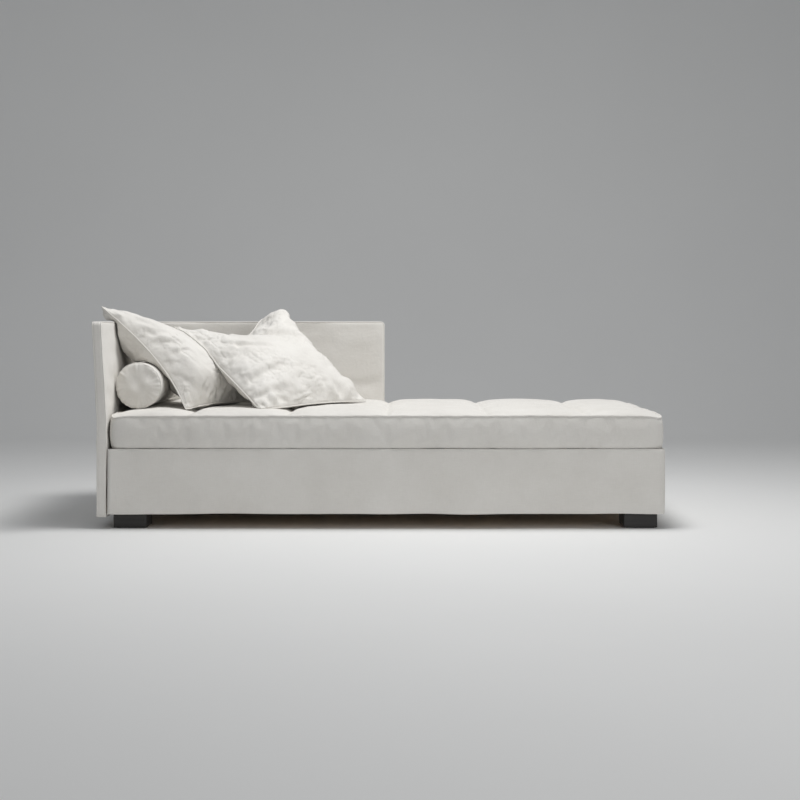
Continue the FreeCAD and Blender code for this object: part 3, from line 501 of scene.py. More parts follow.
def build_mattress():
    """Top panel quilted into lobes, upright border, flat base; piping on both seams."""
    xs = grid_lines(X_HEAD, X_FOOT, CHANNELS)
    ys = grid_lines(Y_FRONT, Y_BACK, [])
    columns, rows = len(xs), len(ys)
    flat_x, flat_y = (grid.ravel() for grid in np.meshgrid(xs, ys))
    plan = rounded_plan(np.stack([flat_x, flat_y], 1))
    corner = np.exp(-(((MATTRESS_HALF - np.abs(plan - MATTRESS_MIDDLE)) / CORNER_REACH) ** 2).sum(1))
    plan -= np.sign(plan - MATTRESS_MIDDLE) * (CORNER_DRAW * corner)[:, None]
    sunk = CORNER_SINK * corner
    rise = RISE_BEFORE_FILLING * mattress_rise(flat_x, flat_y)
    top = np.column_stack([plan, MATTRESS_SEAM + rise - sunk])
    faces = list(grid_quads(rows, columns))
    ring = ring_of_grid(rows, columns)
    rim = top[ring, :2].copy()
    at_edge = np.abs(rim - MATTRESS_MIDDLE) > MATTRESS_HALF - 0.02
    outward = np.where(at_edge, np.sign(rim - MATTRESS_MIDDLE), 0)
    drawn = outward * MATTRESS_DRAW
    top[ring, :2] -= drawn
    dips = channel_depth(rim[:, 0], 0.05) * np.where(rim[:, 1] > 0, REAR_DIP, 0.0)
    top[ring, 2] -= dips
    seam_height = MATTRESS_SEAM - (dips + sunk[ring])
    points = [top]
    count = len(top)
    previous = ring
    for k in range(1, BORDER_ROWS + 1):
        share = k / BORDER_ROWS
        bulge = math.sqrt(math.sin(math.pi * share) + 1e-12)
        height = seam_height * (1 - share) + MATTRESS_BOTTOM * share
        points.append(np.column_stack([rim - drawn * (1 - bulge), height]))
        current = list(range(count, count + len(ring)))
        count += len(ring)
        for i in range(len(ring)):
            j = (i + 1) % len(ring)
            faces.append((previous[j], previous[i], current[i], current[j]))
        previous = current
    inner = sorted(set(range(len(top))) - set(ring))
    lower = dict(zip(ring, previous))
    lower.update({i: count + place for place, i in enumerate(inner)})
    points.append(np.column_stack([top[inner, :2], np.full(len(inner), MATTRESS_BOTTOM)]))
    faces += [(lower[a], lower[d], lower[c], lower[b]) for a, b, c, d in grid_quads(rows, columns)]
    obj = mesh_object("mattress_cover", np.concatenate(points), faces)
    sewn = np.nonzero(channel_depth(flat_x, 0.0005) > 0.9)[0]
    held = set(sewn.tolist()) | set(ring) | set(lower.values())
    plump(obj, sorted(held), **MATTRESS_FILLING)
    moved = coords(obj)
    moved += normals(obj) * sewn_detail(moved)[:, None]
    moved[:, 2] = np.clip(moved[:, 2], MATTRESS_BOTTOM, MATTRESS_SEAM + CROWN + 0.002)
    moved[:, 0] = np.maximum(moved[:, 0], X_HEAD)
    beside_back = moved[:, 0] < BACK_END + 0.03
    moved[beside_back, 1] = np.minimum(moved[beside_back, 1], Y_BACK - 0.0002)
    set_coords(obj, moved)
    inset = np.column_stack([outward * 0.002, np.zeros(len(ring))])
    seams = {"top": (moved[ring], 0.0005),
             "bottom": (moved[[lower[i] for i in ring]] - inset, 0.0034)}
    refine(obj)
    dress(obj, "platform", LINEN, "mattress")
    for name, (path, lift) in seams.items():
        path = smoothed(path, 2) + np.array([0, 0, lift])
        piping("mattress_piping_" + name, path, MATTRESS_CORD, "platform", LINEN)


# Bolster
AROUND, SIDE_STEPS, FACE_STEPS = 96, 56, 8
BOLSTER_SEAM, SIDE_START, FACE_DEPTH = 0.0185, 0.030, 0.016
BOLSTER_FILLING = {"pressure": 2.0, "frames": 12, "cap": 0.006}


def bolster_profile(length):
    """Radius and place along the bolster: end face, seam, full side, and the same mirrored."""
    profile = [(BOLSTER_RADIUS * 0.93 * k / FACE_STEPS, 0.006 + 0.006 * (k / FACE_STEPS) ** 2)
               for k in range(FACE_STEPS + 1)]
    profile[0] = (0.004, 0.006)
    profile += [(BOLSTER_RADIUS * share, along)
                for share, along in ((0.965, 0.0145), (0.985, BOLSTER_SEAM), (0.978, 0.0225))]
    for k in range(SIDE_STEPS + 1):
        along = SIDE_START + (length / 2 - SIDE_START) * k / SIDE_STEPS
        swell = 0.015 * math.sin(math.pi / 2 * min(1, k / 10))
        profile.append((BOLSTER_RADIUS * (0.985 + swell), along))
    return profile + [(radius, length - along) for radius, along in reversed(profile[:-1])]


def build_bolster():
    """A round bolster: full side, seamed ends with small gathers."""
    low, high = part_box("bolster")
    centre = (low + high) / 2
    length = high.y - low.y
    profile = bolster_profile(length)
    rows = len(profile)
    points = []
    for radius, along in profile:
        for k in range(AROUND):
            angle = math.tau * k / AROUND
            points.append((centre.x + radius * math.cos(angle), low.y + along,
                           centre.z + radius * math.sin(angle)))
    faces = [face[::-1] for face in ring_faces(rows, AROUND)]
    obj = mesh_object("bolster_cushion", points, faces)
    seams = [r for r, (radius, along) in enumerate(profile)
             if abs(min(along, length - along) - BOLSTER_SEAM) < 1e-6]
    held = [r * AROUND + k for r in seams + [0, rows - 1] for k in range(AROUND)]
    plump(obj, held, **BOLSTER_FILLING)
    moved = coords(obj)
    axis = np.array([centre.x, 0, centre.z])
    radial = moved - axis
    radial[:, 1] = 0
    distance = np.linalg.norm(radial, axis=1)
    from_end = np.minimum(moved[:, 1] - low.y, high.y - moved[:, 1])
    angle = np.arctan2(radial[:, 2], radial[:, 0])
    rng = np.random.default_rng(11)
    gathers = 0
    for waves in (17, 23, 31, 38):
        strength = rng.uniform(0.4, 1.0)
        gathers = gathers + strength * np.sin(waves * angle + rng.uniform(0, math.tau))
    change = 0.0011 * gathers * bell(from_end - 0.020, 0.022)
    change += 0.0016 * folds(moved, 12, 0.12, (1, 2.5, 1))
    off_centre = distance > 0.02
    new_distance = np.minimum(distance + np.where(off_centre, change, 0), BOLSTER_RADIUS - 0.0004)
    scale = (new_distance / np.maximum(distance, TINY))[:, None]
    along = moved[:, 1].copy()
    moved = axis + radial * scale
    moved[:, 1] = along
    dimples = 0.0026 * folds(moved, 13, 0.05)
    dimples += 0.0013 * gathers * bell(BOLSTER_RADIUS * 0.95 - distance, 0.016)
    moved[:, 1] += np.where(from_end < FACE_DEPTH, dimples * np.sign(moved[:, 1] - centre.y), 0)
    moved[:, 1] = np.clip(moved[:, 1], low.y - 0.003, high.y + 0.003)
    set_coords(obj, moved)
    refine(obj)
    dress(obj, "bolster", LINEN, "bolster")
    for number, r in enumerate(seams, 1):
        path = moved[r * AROUND:(r + 1) * AROUND]
        piping("bolster_piping_%d" % number, path, BOLSTER_CORD, "bolster", LINEN)


# Scatter cushions: sizes, place, turns in degrees, and how far each corner has slumped
CUSHIONS = {
    "left_cushion": {
        "side": 0.491, "front": 0.122, "back": 0.110, "inset": 0.132, "depth": 0.468, "height": 0.1965,
        "heading": 82, "slope": 49, "turn": 0, "seed": 21,
        "corners": {(-1, 1): (-0.018, 0, 0.020), (1, 1): (0.070, -0.05, -0.085),
                    (1, -1): (0.150, -0.20, 0.012), (-1, -1): (-0.006, 0, 0)}},
    "right_cushion": {
        "side": 0.565, "front": 0.100, "back": 0.095, "inset": 0.536, "depth": 0.500, "height": 0.180,
        "heading": 43, "slope": 35.3, "turn": 3, "seed": 31,
        "corners": {(-1, 1): (0, 0, -0.016), (1, 1): (-0.030, 0, 0.022),
                    (-1, -1): (0.030, 0, 0), (1, -1): (0.010, 0, 0)}},
}
CUSHION_DRAW, SEAM_ROLL, ROLL_REACH, LINE_CROWDING = 0.016, 0.010, 0.10, 1.25
CUSHION_CELLS, QUICK_CELLS = 68, 44
CUSHION_FILLING = {"pressure": 4.0, "frames": 48, "cap": 0.06, "grow": 0.03, "bending": 0.1, "mass": 0.12,
                   "drag": 2.5}
CLEAR_FRONT, CLEAR_BACK, CLEAR_SEAM, LEAST_THICKNESS = 0.005, 0.001, 0.003, 0.004
PRESSINGS = 4
# Added to a cushion's seed, wavelength and stretch of each set of fine wrinkles
WRINKLES = ((5, 0.060, (3.0, 0.8, 1)), (6, 0.075, (0.8, 2.6, 1)), (7, 0.050, (1.6, 1.2, 1)))
WRINKLE_DEPTH, WRINKLE_WIDTH = 0.0025, 0.30


def cushion_matrix(facts):
    """Where a cushion lies: its face is its own XY plane."""
    place = Vector((X_HEAD + facts["inset"], Y_FRONT + facts["depth"], MATTRESS_SEAM + facts["height"]))
    turns = [Matrix.Rotation(math.radians(facts[word]), 4, axis)
             for word, axis in (("heading", "Z"), ("slope", "X"), ("turn", "Z"))]
    return Matrix.Translation(place) @ turns[0] @ turns[1] @ turns[2]


def clear_of_bolster(points, facing, clear):
    """Move points out of the bolster along a cushion's facing."""
    low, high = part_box("bolster")
    off_x, off_z = points[:, 0] - (low.x + high.x) / 2, points[:, 2] - (low.z + high.z) / 2
    room = BOLSTER_RADIUS + 0.0015 + clear
    inside = off_x ** 2 + off_z ** 2 < room ** 2
    inside &= (points[:, 1] > low.y) & (points[:, 1] < high.y)
    a = facing[0] ** 2 + facing[2] ** 2
    b = off_x * facing[0] + off_z * facing[2]
    c = off_x ** 2 + off_z ** 2 - room ** 2
    step = (-b + np.sqrt(np.maximum(b * b - a * c, 0))) / a
    points[inside] += (step[:, None] * facing)[inside]


def clear_of_cushion(points, facing, clear, tree):
    """Move points out of another cushion along this cushion's facing."""
    start = points + 0.8 * facing
    for i in range(len(points)):
        hit = tree.ray_cast(Vector(start[i]), Vector(-facing), 1.2)[0]
        if hit is not None:
            behind = (np.array(hit) - points[i]) @ facing + clear[i]
            if behind > 0:
                points[i] += behind * facing


def clear_of_panel(points, axis, sign, short, clear, beside=True):
    """Move points out of an upright panel, sideways or up, whichever is nearer."""
    short_z = PANEL_TOP + clear + 0.003 - points[:, 2]
    inside = (short > 0) & (short_z > 0) & beside
    points[:, axis] += sign * np.where(inside & (short <= short_z), short, 0)
    points[:, 2] += np.where(inside & (short_z < short), short_z, 0)


def rest_against(points, facing, clear, solids, left_tree):
    """Press a cushion clear of what it lies on: each point moves out along a plain direction."""
    points = points.copy()
    if "bolster" in solids:
        clear_of_bolster(points, facing, clear)
    if left_tree is not None:
        clear_of_cushion(points, facing, clear, left_tree)
    if "headboard" in solids:
        short = HEADBOARD_INNER - lean_at(points[:, 2]) + clear + 0.002 - points[:, 0]
        clear_of_panel(points, 0, 1, short, clear)
    if "back" in solids:
        short = points[:, 1] - (BACK_FACE - clear - 0.002)
        clear_of_panel(points, 1, -1, short, clear, points[:, 0] < BACK_END)
    top = MATTRESS_SEAM + mattress_rise(points[:, 0], points[:, 1]) + 0.002 + clear
    points[:, 2] = np.maximum(points[:, 2], top)
    return points


def eased(points, ends, where):
    """Move points halfway to the middle of their neighbours where asked."""
    counts = np.bincount(ends.ravel(), minlength=len(points))
    soft = np.zeros_like(points)
    np.add.at(soft, ends[:, 0], points[ends[:, 1]])
    np.add.at(soft, ends[:, 1], points[ends[:, 0]])
    soft /= counts[:, None]
    weight = (0.5 * where)[:, None]
    return points * (1 - weight) + soft * weight


def crumples(points, share, half, seed):
    """How far broad crumples and the tucks along the seam move a cushion's cover outwards."""
    edge = np.abs(share).max(1)
    broad = folds(points, seed, 0.10) * 0.0030 + folds(points, seed + 1, 0.035) * 0.0013
    broad *= 0.5 + 0.5 * edge ** 3
    along = np.where(np.abs(share[:, 0]) > np.abs(share[:, 1]), share[:, 1], share[:, 0]) * half
    tilt = along[:, None] * np.array([1.0, 0, 0]) + points * np.array([0.25, 0.25, 0.5])
    patches = np.clip(folds(points, seed + 3, 0.22) + 0.3, 0, 1.2)
    tucks = folds(tilt, seed + 2, 0.045) * patches * 0.0042 * bell(1 - edge, 0.22)
    return (broad + tucks) * (1 - edge ** 24)


def wrinkle(obj, facing, turn, seed):
    """Press fine lines into the front of a cushion's cover, in patches."""
    points, outward = coords(obj), normals(obj)
    patches = np.clip(0.25 + folds(points, seed + 4, 0.17), 0, 1.3)
    depth = np.zeros(len(points))
    for extra, wavelength, stretch in WRINKLES:
        line = folds(points @ turn, seed + extra, wavelength, stretch)
        depth -= WRINKLE_DEPTH * bell(line, WRINKLE_WIDTH)
    on_front = outward @ facing > 0.25
    set_coords(obj, points + outward * (depth * patches * on_front)[:, None])


def build_cushion(name, solids, shape, left_tree=None):
    """Two square panels sewn at the edge, filled, creased as cloth and laid against their neighbours."""
    facts = CUSHIONS[name]
    half = facts["side"] / 2
    cells = CUSHION_CELLS
    line = np.sin(np.linspace(-1, 1, cells + 1) * LINE_CROWDING) / math.sin(LINE_CROWDING)
    u, v = (grid.ravel() for grid in np.meshgrid(line, line))
    columns = cells + 1
    ring = ring_of_grid(columns, columns)
    across = u * (half - CUSHION_DRAW * (1 - v * v))
    up = v * (half - CUSHION_DRAW * (1 - u * u))
    full = np.sqrt(np.maximum(1 - u * u, 0)) * np.maximum(1 - v * v, 0) ** 0.6
    roll = SEAM_ROLL * quarter_round(1 - np.maximum(np.abs(u), np.abs(v)), ROLL_REACH)
    front = np.stack([across, up, roll + full * (facts["front"] - SEAM_ROLL)], 1)
    back = np.stack([across, up, -roll - full * (facts["back"] - SEAM_ROLL)], 1)
    inner = np.array(sorted(set(range(len(front))) - set(ring)))
    behind = np.arange(len(front))
    behind[inner] = len(front) + np.arange(len(inner))
    faces = []
    for corner in grid_quads(columns, columns):
        faces.append(corner)
        faces.append(tuple(int(behind[i]) for i in reversed(corner)))
    obj = mesh_object(name + "_cover", np.concatenate([front, back[inner]]), faces)
    plump(obj, ring, **CUSHION_FILLING)
    moved = coords(obj)
    share = np.stack([u, v], 1)
    share = np.concatenate([share, share[inner]])
    is_front = np.arange(len(moved)) < len(front)
    above = is_front & (moved[:, 2] > 0)
    moved[above, 2] *= facts["front"] / moved[above, 2].max()
    moved[~is_front, 2] *= facts["back"] / -moved[~is_front, 2].min()
    moved = shape(moved, share, is_front)
    set_coords(obj, moved)
    moved += normals(obj) * crumples(moved, share, half, facts["seed"])[:, None]
    matrix = cushion_matrix(facts)
    turn = np.array(matrix.to_3x3())
    facing = turn[:, 2]
    points = moved @ turn.T + np.array(matrix.translation)
    for (side_u, side_v), shift in facts["corners"].items():
        weight = (1 + side_u * share[:, 0]) * (1 + side_v * share[:, 1]) / 4
        points += weight[:, None] * np.array(shift)
    clear = np.where(is_front, CLEAR_FRONT, CLEAR_BACK)
    clear[ring] = CLEAR_SEAM
    ends = edge_ends(obj)
    for _ in range(PRESSINGS):
        pressed = rest_against(points, facing, clear, solids, left_tree)
        touched = np.linalg.norm(pressed - points, axis=1) > 1e-5
        near = touched.copy()
        near[ends[touched[ends[:, 0]], 1]] = True
        near[ends[touched[ends[:, 1]], 0]] = True
        points = eased(pressed, ends, near)
    points = rest_against(points, facing, clear, solids, left_tree)
    thickness = (points[inner] - points[behind[inner]]) @ facing
    points[inner] += np.maximum(LEAST_THICKNESS - thickness, 0)[:, None] * facing
    set_coords(obj, points)
    refine(obj)
    wrinkle(obj, facing, turn, facts["seed"])
    lie = tuple(matrix.to_3x3().transposed().to_euler())
    cloth = linen("linen_" + name, *LINEN_TONES, turn=lie, crumpled=0.0048)
    dress(obj, name, cloth, name)
    piping(name + "_piping", smoothed(points[ring], 1), CUSHION_CORD, name, cloth)
    return obj


def crease(share, start, end, width):
    """A fold on a line across a cushion's face: 1 in its valley, below 0 on the ridge beside it."""
    start, end = np.array(start), np.array(end)
    along = end - start
    t = np.clip((share - start) @ along / (along @ along), 0, 1)
    off = share - start - t[:, None] * along
    distance = np.linalg.norm(off, axis=1)
    side = off @ np.array([-along[1], along[0]]) / np.linalg.norm(along)
    ridge = bell(side - 1.7 * width, 1.2 * width) * bell(distance - np.abs(side), width)
    return (bell(distance, width) - 0.55 * ridge) * (1 - 0.6 * t)


# Start and end of each crease in shares of the half side, its width in shares, its depth
LEFT_CREASES = (
    ((-1.0, 0.30), (-0.55, 0.10), 0.05, 0.007), ((-1.0, 0.05), (-0.50, -0.10), 0.05, 0.008),
    ((-1.0, -0.20), (-0.60, -0.25), 0.04, 0.006), ((-1.0, 0.55), (-0.60, 0.42), 0.05, 0.005),
    ((-0.10, -1.0), (-0.05, -0.60), 0.06, 0.006), ((0.45, -0.7), (0.75, -0.45), 0.07, 0.010))
RIGHT_CREASES = (
    ((-0.85, -0.50), (-0.22, -0.44), 0.06, 0.020), ((-0.95, -0.78), (-0.45, -0.80), 0.05, 0.014),
    ((-1.0, -0.15), (-0.55, -0.02), 0.045, 0.012), ((-1.0, 0.05), (-0.55, 0.16), 0.04, 0.011),
    ((-0.62, 0.20), (-0.18, -0.04), 0.05, 0.015), ((0.0, 0.95), (0.55, 0.20), 0.07, 0.026),
    ((0.30, 0.62), (0.70, 0.42), 0.045, 0.010), ((0.55, 0.80), (0.85, 0.55), 0.05, 0.008))
# How full the left cushion is from its lower to its upper edge
LEFT_FULLNESS = ((-1, -0.6, -0.1, 0.4, 1), (0.90, 1.08, 0.98, 0.86, 0.64))
# How far the right cushion's top edge sags, from its left to its right corner
RIGHT_SAG = ((-1, -0.7, -0.4, 0, 0.25, 0.42, 0.6, 0.78, 1),
             (0, 0.034, 0.062, 0.078, 0.084, 0.056, 0.016, 0, 0))


def creased(points, share, is_front, creases):
    """Press creases into a cushion's front."""
    inside = is_front * (1 - np.abs(share).max(1) ** 12)
    for start, end, width, depth in creases:
        points[:, 2] -= inside * depth * crease(share, start, end, width)
    return points


def left_form(points, share, is_front):
    """The left cushion's near seam bows forward, it is full low down, and flat behind by the bolster."""
    u, v = share[:, 0], share[:, 1]
    fullness = np.interp(v, *LEFT_FULLNESS)
    flat_back = 1 - 0.75 * smooth_step(-v, -0.1, 0.5) * smooth_step(-u, -0.2, 0.7)
    points[:, 2] *= np.where(is_front, fullness, flat_back)
    belly = 0.044 * np.exp(-((u - 0.40) ** 2 + (v + 0.70) ** 2) / 0.15)
    points[:, 2] += np.where(is_front, belly, 0) * (1 - np.abs(share).max(1) ** 8)
    rounding = 0.04 * (np.clip(-u, 0, 1) * np.clip(v, 0, 1)) ** 8
    points[:, :2] *= (1 - rounding)[:, None]
    points[:, 2] += 0.030 * (1 - v * v) * (1 - 0.3 * v) * smooth_step(-u, -0.1, 1.0)
    return creased(points, share, is_front, LEFT_CREASES)


def right_form(points, share, is_front):
    """The right cushion's top edge sags between a thin long corner and a plump, rounded, raised one."""
    u, v = share[:, 0], share[:, 1]
    sag = np.interp(u, *RIGHT_SAG) * smooth_step(v, -0.25, 0.85)
    points[:, 1] -= 0.75 * sag
    points[:, 2] -= np.where(is_front, 0.45, 0.75) * sag
    rounding = 0.10 * (np.clip(u, 0, 1) * np.clip(v, 0, 1)) ** 5
    points[:, :2] *= (1 - rounding)[:, None]
    raised = np.exp(-((u - 0.76) ** 2 + (v - 0.76) ** 2) / 0.07)
    raised *= 1 - np.abs(share).max(1) ** 12
    points[:, 2] += np.where(is_front, 0.034, -0.014) * raised
    return creased(points, share, is_front, RIGHT_CREASES)


# Slipcovers
COVER_HEM, COVER_TOP, RAIL_TOP = 0.054, 0.2845, 0.2785
COVER_WALL, COVER_CAP, COVER_EASE, COVER_CORNER = 0.0094, 0.0345, 0.005, 0.02
ON_RAIL = RAIL_TOP + 0.0006
# Points of the base cover's section: at its top edge, and down its outer face
TOP_EDGE, OUTER_FACE = 4, slice(5, 33)
PANEL_RADIUS, PANEL_CLOTH, PANEL_RINGS = 0.016, 0.004, 40


def rounded_corner(first, corner, last, radius, steps=6):
    """Points of a quarter round in plan from one leg to the next."""
    first, corner, last = (np.array(p, float) for p in (first, corner, last))
    into = (corner - first) / np.linalg.norm(corner - first)
    out = (last - corner) / np.linalg.norm(last - corner)
    centre = corner - into * radius + out * radius
    return [centre - out * radius * math.cos(a) + into * radius * math.sin(a)
            for a in np.linspace(0, math.pi / 2, steps + 1)]


def three_sides(first, second, third, last, radius):
    """Three sides of a rectangle with their two corners rounded."""
    corners = rounded_corner(first, second, third, radius) + rounded_corner(second, third, last, radius)
    return [first] + corners + [last]


def spaced(path, step):
    """Points along a path at about a step."""
    path = np.array(path, float)
    result = []
    for a, b in zip(path, path[1:]):
        count = max(1, round(np.linalg.norm(b - a) / step))
        result += [a + (b - a) * i / count for i in range(count)]
    return np.array(result + [path[-1]])


def right_of(path):
    """Unit vectors to the right of a path in plan."""
    ahead = np.gradient(path, axis=0)
    ahead /= np.linalg.norm(ahead, axis=1)[:, None]
    return np.stack([ahead[:, 1], -ahead[:, 0]], 1)


def cover_section():
    """Distance inwards and height round the base cover's section, from its turned-in edge."""
    section = [(COVER_CAP, ON_RAIL), (COVER_CAP, COVER_TOP - 0.001), (COVER_CAP * 0.7, COVER_TOP),
               (0.012, COVER_TOP), (COVER_EASE, COVER_TOP - 0.0004),
               (COVER_EASE * 0.35, COVER_TOP - COVER_EASE * 0.35)]
    section += [(0.0, z) for z in np.linspace(COVER_TOP - COVER_EASE, COVER_HEM + 0.002, 26)]
    section += [(0.0008, COVER_HEM), (0.003, COVER_HEM - 0.0012), (COVER_WALL - 0.001, COVER_HEM),
                (COVER_WALL, COVER_HEM + 0.004)]
    section += [(COVER_WALL, z) for z in np.linspace(COVER_HEM + 0.02, RAIL_TOP - 0.01, 8)]
    return section + [(COVER_WALL, ON_RAIL)]


def build_base_cover():
    """One skirt round the front, the foot end and the rear, turned in over the rails, with a hem."""
    plan = three_sides((X_HEAD, Y_FRONT), (X_FOOT, Y_FRONT), (X_FOOT, Y_BACK), (X_HEAD, Y_BACK), COVER_CORNER)
    path = spaced(plan, 0.012)
    outward = right_of(path)
    section = cover_section()
    rows = len(section)
    points = np.zeros((len(path), rows, 3))
    for k, (inward, z) in enumerate(section):
        points[:, k, :2] = path - outward * inward
        points[:, k, 2] = z
    flat = points.reshape(-1, 3)
    slack = folds(flat, 41, 0.30, (1, 1, 1.6)) * 0.0013 + folds(flat, 42, 0.10, (1, 1, 2.5)) * 0.0005
    low = 1 - smooth_step(flat[:, 2], COVER_HEM, COVER_HEM + 0.2)
    loose = [1.0 if inward < 0.004 else 0.25 if z < 0.08 else 0.0 for inward, z in section]
    outer = np.tile(loose, len(path))
    side = np.repeat(outward, rows, 0)
    flat[:, :2] += side * ((slack * (0.5 + low) - 0.0008) * outer)[:, None]
    hem = folds(flat * (1, 1, 0), 43, 0.22) * 0.0009
    flat[:, 2] += hem * (1 - smooth_step(flat[:, 2], COVER_HEM, COVER_HEM + 0.03))
    stitch = bell(flat[:, 2] - COVER_HEM - 0.024, 0.0016) * 0.0009
    flat[:, :2] -= side * (stitch * (outer > 0.9))[:, None]
    obj = mesh_object("base_slipcover", flat, ring_faces(len(path), rows))
    dress(obj, "base", LINEN, "front_rail_cover", "rear_rail_cover", "foot_rail_cover")
    columns = flat.reshape(len(path), rows, 3)
    top_line = columns[:, TOP_EDGE] + np.column_stack([outward * 0.0012, np.zeros(len(path))])
    piping("base_piping_top", top_line, BASE_CORD, "base", LINEN, closed=False)
    seam_inset = COVER_CORNER * 0.29
    for name, y in (("base_seam_front", Y_FRONT + seam_inset), ("base_seam_rear", Y_BACK - seam_inset)):
        middle = np.array([X_FOOT - seam_inset, y])
        nearest = int(np.argmin(np.linalg.norm(path - middle, axis=1)))
        piping(name, columns[nearest, OUTER_FACE], CORNER_CORD, "base", LINEN, closed=False)


def lean_at(z):
    """How far the headboard's outline has leaned out at a height."""
    return LEAN * np.clip((z - LEAN_START) / (PANEL_TOP - LEAN_START), 0, 1.05)


def slab_cover(name, low, high, thin, lean, seed, stretch):
    """A slip-on cover: a rounded slab, open at the foot, with a boxing strip; also its two seam lines."""
    low, high = np.array(low), np.array(high)
    wide = 1 - thin
    half_thick = (high[thin] - low[thin]) / 2
    middle = (high[thin] + low[thin]) / 2
    outline = three_sides((low[wide], low[2]), (low[wide], high[2]), (high[wide], high[2]),
                          (high[wide], low[2]), PANEL_RADIUS)
    rim = spaced(outline, 0.014)
    inward = right_of(rim)
    edge = min(PANEL_RADIUS, half_thick * 0.62)
    rounding = [(edge * (1 - math.sin(a)), half_thick - edge * (1 - math.cos(a)))
                for a in np.linspace(0, math.pi / 2, 6)]
    strip = [(0.0, t) for t in np.linspace(half_thick - edge, -(half_thick - edge), 6)[1:-1]]
    across = rounding + strip + [(inset, -t) for inset, t in reversed(rounding)]
    columns = len(rim)
    points = []
    for inset, offset in across:
        for at in rim + inward * inset:
            point = [0.0, 0.0, at[1]]
            point[wide] = at[0]
            point[thin] = middle + offset
            points.append(point)
    faces = [(a, d, c, b) for a, b, c, d in grid_quads(len(across), columns)]
    for side, start in ((1, 0), (-1, (len(across) - 1) * columns)):
        boundary = np.array(points[start:start + columns])
        centre = (boundary[:, wide].min() + boundary[:, wide].max()) / 2
        previous = list(range(start, start + columns))
        for ring in range(1, PANEL_RINGS):
            share = ring / PANEL_RINGS
            current = list(range(len(points), len(points) + columns))
            inner = boundary.copy()
            inner[:, wide] += (centre - inner[:, wide]) * share
            inner[:, 2] = low[2] + (inner[:, 2] - low[2]) * (1 - share)
            points += inner.tolist()
            for i in range(columns - 1):
                quad = (previous[i], previous[i + 1], current[i + 1], current[i])
                faces.append(quad[::side])
            previous = current
        faces.append(tuple(previous[::side]))
    flat = np.array(points)
    slack = folds(flat, seed, 0.22, stretch) * 0.0016 + folds(flat, seed + 1, 0.07, stretch) * 0.0007
    patches = np.clip(folds(flat, seed + 3, 0.35), 0, 1)
    slack += folds(flat, seed + 4, 0.030, tuple(2 * s for s in stretch)) * 0.0014 * patches
    off_middle = flat[:, thin] - middle
    proud = np.minimum(slack - 0.0030, 0.0004)
    flat[:, thin] += np.sign(off_middle) * proud * smooth_step(np.abs(off_middle) / half_thick, 0.6, 1.0)
    hem = folds(flat * (1, 1, 0), seed + 2, 0.2) * 0.0015
    flat[:, 2] += hem * (1 - smooth_step(flat[:, 2], low[2], low[2] + 0.04))
    flat = lean(flat)
    if thin == 0:
        faces = [face[::-1] for face in faces]
    obj = mesh_object(name, flat, faces)
    cloth = obj.modifiers.new("Thickness", "SOLIDIFY")
    cloth.thickness = PANEL_CLOTH
    cloth.offset = -1
    grid = flat[:len(across) * columns].reshape(len(across), columns, 3)
    return obj, grid[3], grid[-4]


def lean_headboard(points):
    """Lean the headboard's cover out."""
    points[:, 0] -= lean_at(points[:, 2])
    return points


def lean_back(points):
    """Lean the headboard end of the back panel's cover out with the headboard."""
    share = np.clip((BACK_END - points[:, 0]) / (BACK_END - X_HEAD), 0, 1) ** 6
    points[:, 0] -= lean_at(points[:, 2]) * share
    return points


# Low and high corner, thin axis, lean, seed and stretch of the folds of each panel's cover
PANELS = {
    "headboard": ((HEADBOARD_OUTER, -BACK_REAR, PANEL_BOTTOM), (HEADBOARD_INNER, BACK_REAR, PANEL_TOP), 0,
                  lean_headboard, 51, (1, 3, 1)),
    "back": ((X_HEAD, BACK_FACE, PANEL_BOTTOM), (BACK_END, BACK_REAR, PANEL_TOP), 1,
             lean_back, 61, (3.5, 1, 1)),
}


def build_panels():
    """Covers of the headboard and the back panel."""
    for panel, values in PANELS.items():
        name = panel + "_slipcover"
        obj, seam_a, seam_b = slab_cover(name, *values)
        dress(obj, "base", LINEN, panel + "_cover")
        for letter, seam in (("a", seam_a), ("b", seam_b)):
            piping("%s_piping_%s" % (name, letter), seam, PANEL_CORD, "base", LINEN, closed=False)


# Build the soft pieces
build_mattress()
build_bolster()
build_base_cover()
build_panels()
left_cushion = build_cushion("left_cushion", ("bolster", "headboard"), left_form)
build_cushion("right_cushion", ("back",), right_form, search_tree(left_cushion))


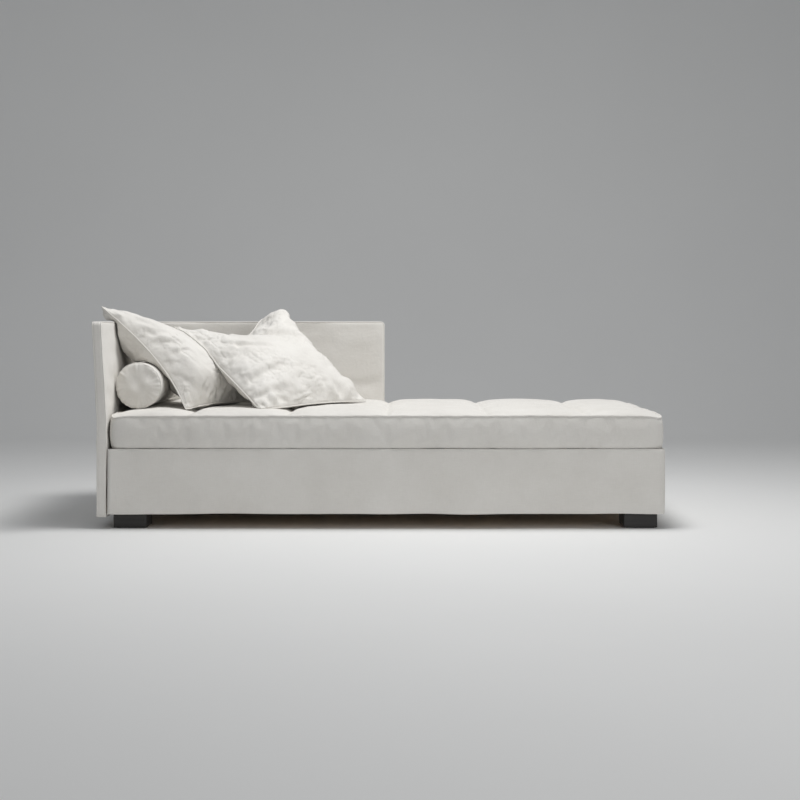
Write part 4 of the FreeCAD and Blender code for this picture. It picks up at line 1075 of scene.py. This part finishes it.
# Stage, light and camera
def build_stage():
    """A pale floor that rises into a backdrop behind."""
    front, bend, sweep, width, height = -9.0, 3.5, 2.0, 12.0, 8.0
    profile = [(front, 0.0), (bend, 0.0)]
    profile += [(bend + sweep * math.sin(a), sweep - sweep * math.cos(a))
                for a in np.linspace(0.1, math.pi / 2, 12)]
    profile += [(bend + sweep, height)]
    points = [(x, y, z) for y, z in profile for x in (-width, width)]
    faces = [(2 * i, 2 * i + 1, 2 * i + 3, 2 * i + 2) for i in range(len(profile) - 1)]
    floor = mesh_object("floor", points, faces)
    material, tree, shader = new_material("floor")
    cloud = noise(tree, object_coordinates(tree, (1, 1, 1)), 4.0, scale=0.8)
    tree.links.new(ramp(tree, cloud, (0.79, 0.79, 0.78), (0.84, 0.84, 0.83)), shader.inputs["Base Color"])
    shader.inputs["Roughness"].default_value = 0.7
    floor.data.materials.append(material)


def area_light(name, place, target, size, power):
    """A large soft lamp."""
    lamp = bpy.data.lights.new(name, "AREA")
    lamp.shape = "RECTANGLE"
    lamp.size, lamp.size_y = size
    lamp.energy = power
    obj = bpy.data.objects.new(name, lamp)
    SCENE.collection.objects.link(obj)
    obj.location = place
    obj.rotation_euler = (Vector(target) - Vector(place)).to_track_quat("-Z", "Y").to_euler()


build_stage()
area_light("key", (0.4, -0.35, 3.4), (-0.1, 0.0, 0.4), (1.5, 1.0), 80)
area_light("fill", (2.6, -4.2, 1.9), (-0.2, 0.0, 0.4), (2.2, 2.0), 28)
world = bpy.data.worlds.new("studio")
SCENE.world = world
world.use_nodes = True
background = world.node_tree.nodes["Background"]
background.inputs["Color"].default_value = (0.95, 0.97, 1.0, 1)
background.inputs["Strength"].default_value = 0.29

PHOTO_WIDTH, FOCAL_PIXELS, HORIZON = 800, 1480, 322
CAMERA_X, CAMERA_DISTANCE, CAMERA_HEIGHT = 0.0786, 5.3, 0.741
lens = bpy.data.cameras.new("camera")
lens.sensor_width = 36.0
lens.lens = FOCAL_PIXELS / PHOTO_WIDTH * lens.sensor_width
lens.shift_y = (HORIZON - PHOTO_WIDTH / 2) / PHOTO_WIDTH
camera = bpy.data.objects.new("camera", lens)
SCENE.collection.objects.link(camera)
camera.location = (CAMERA_X, Y_FRONT - CAMERA_DISTANCE, CAMERA_HEIGHT)
camera.rotation_euler = (math.pi / 2, 0, 0)
SCENE.camera = camera
SCENE.view_settings.view_transform = "Standard"
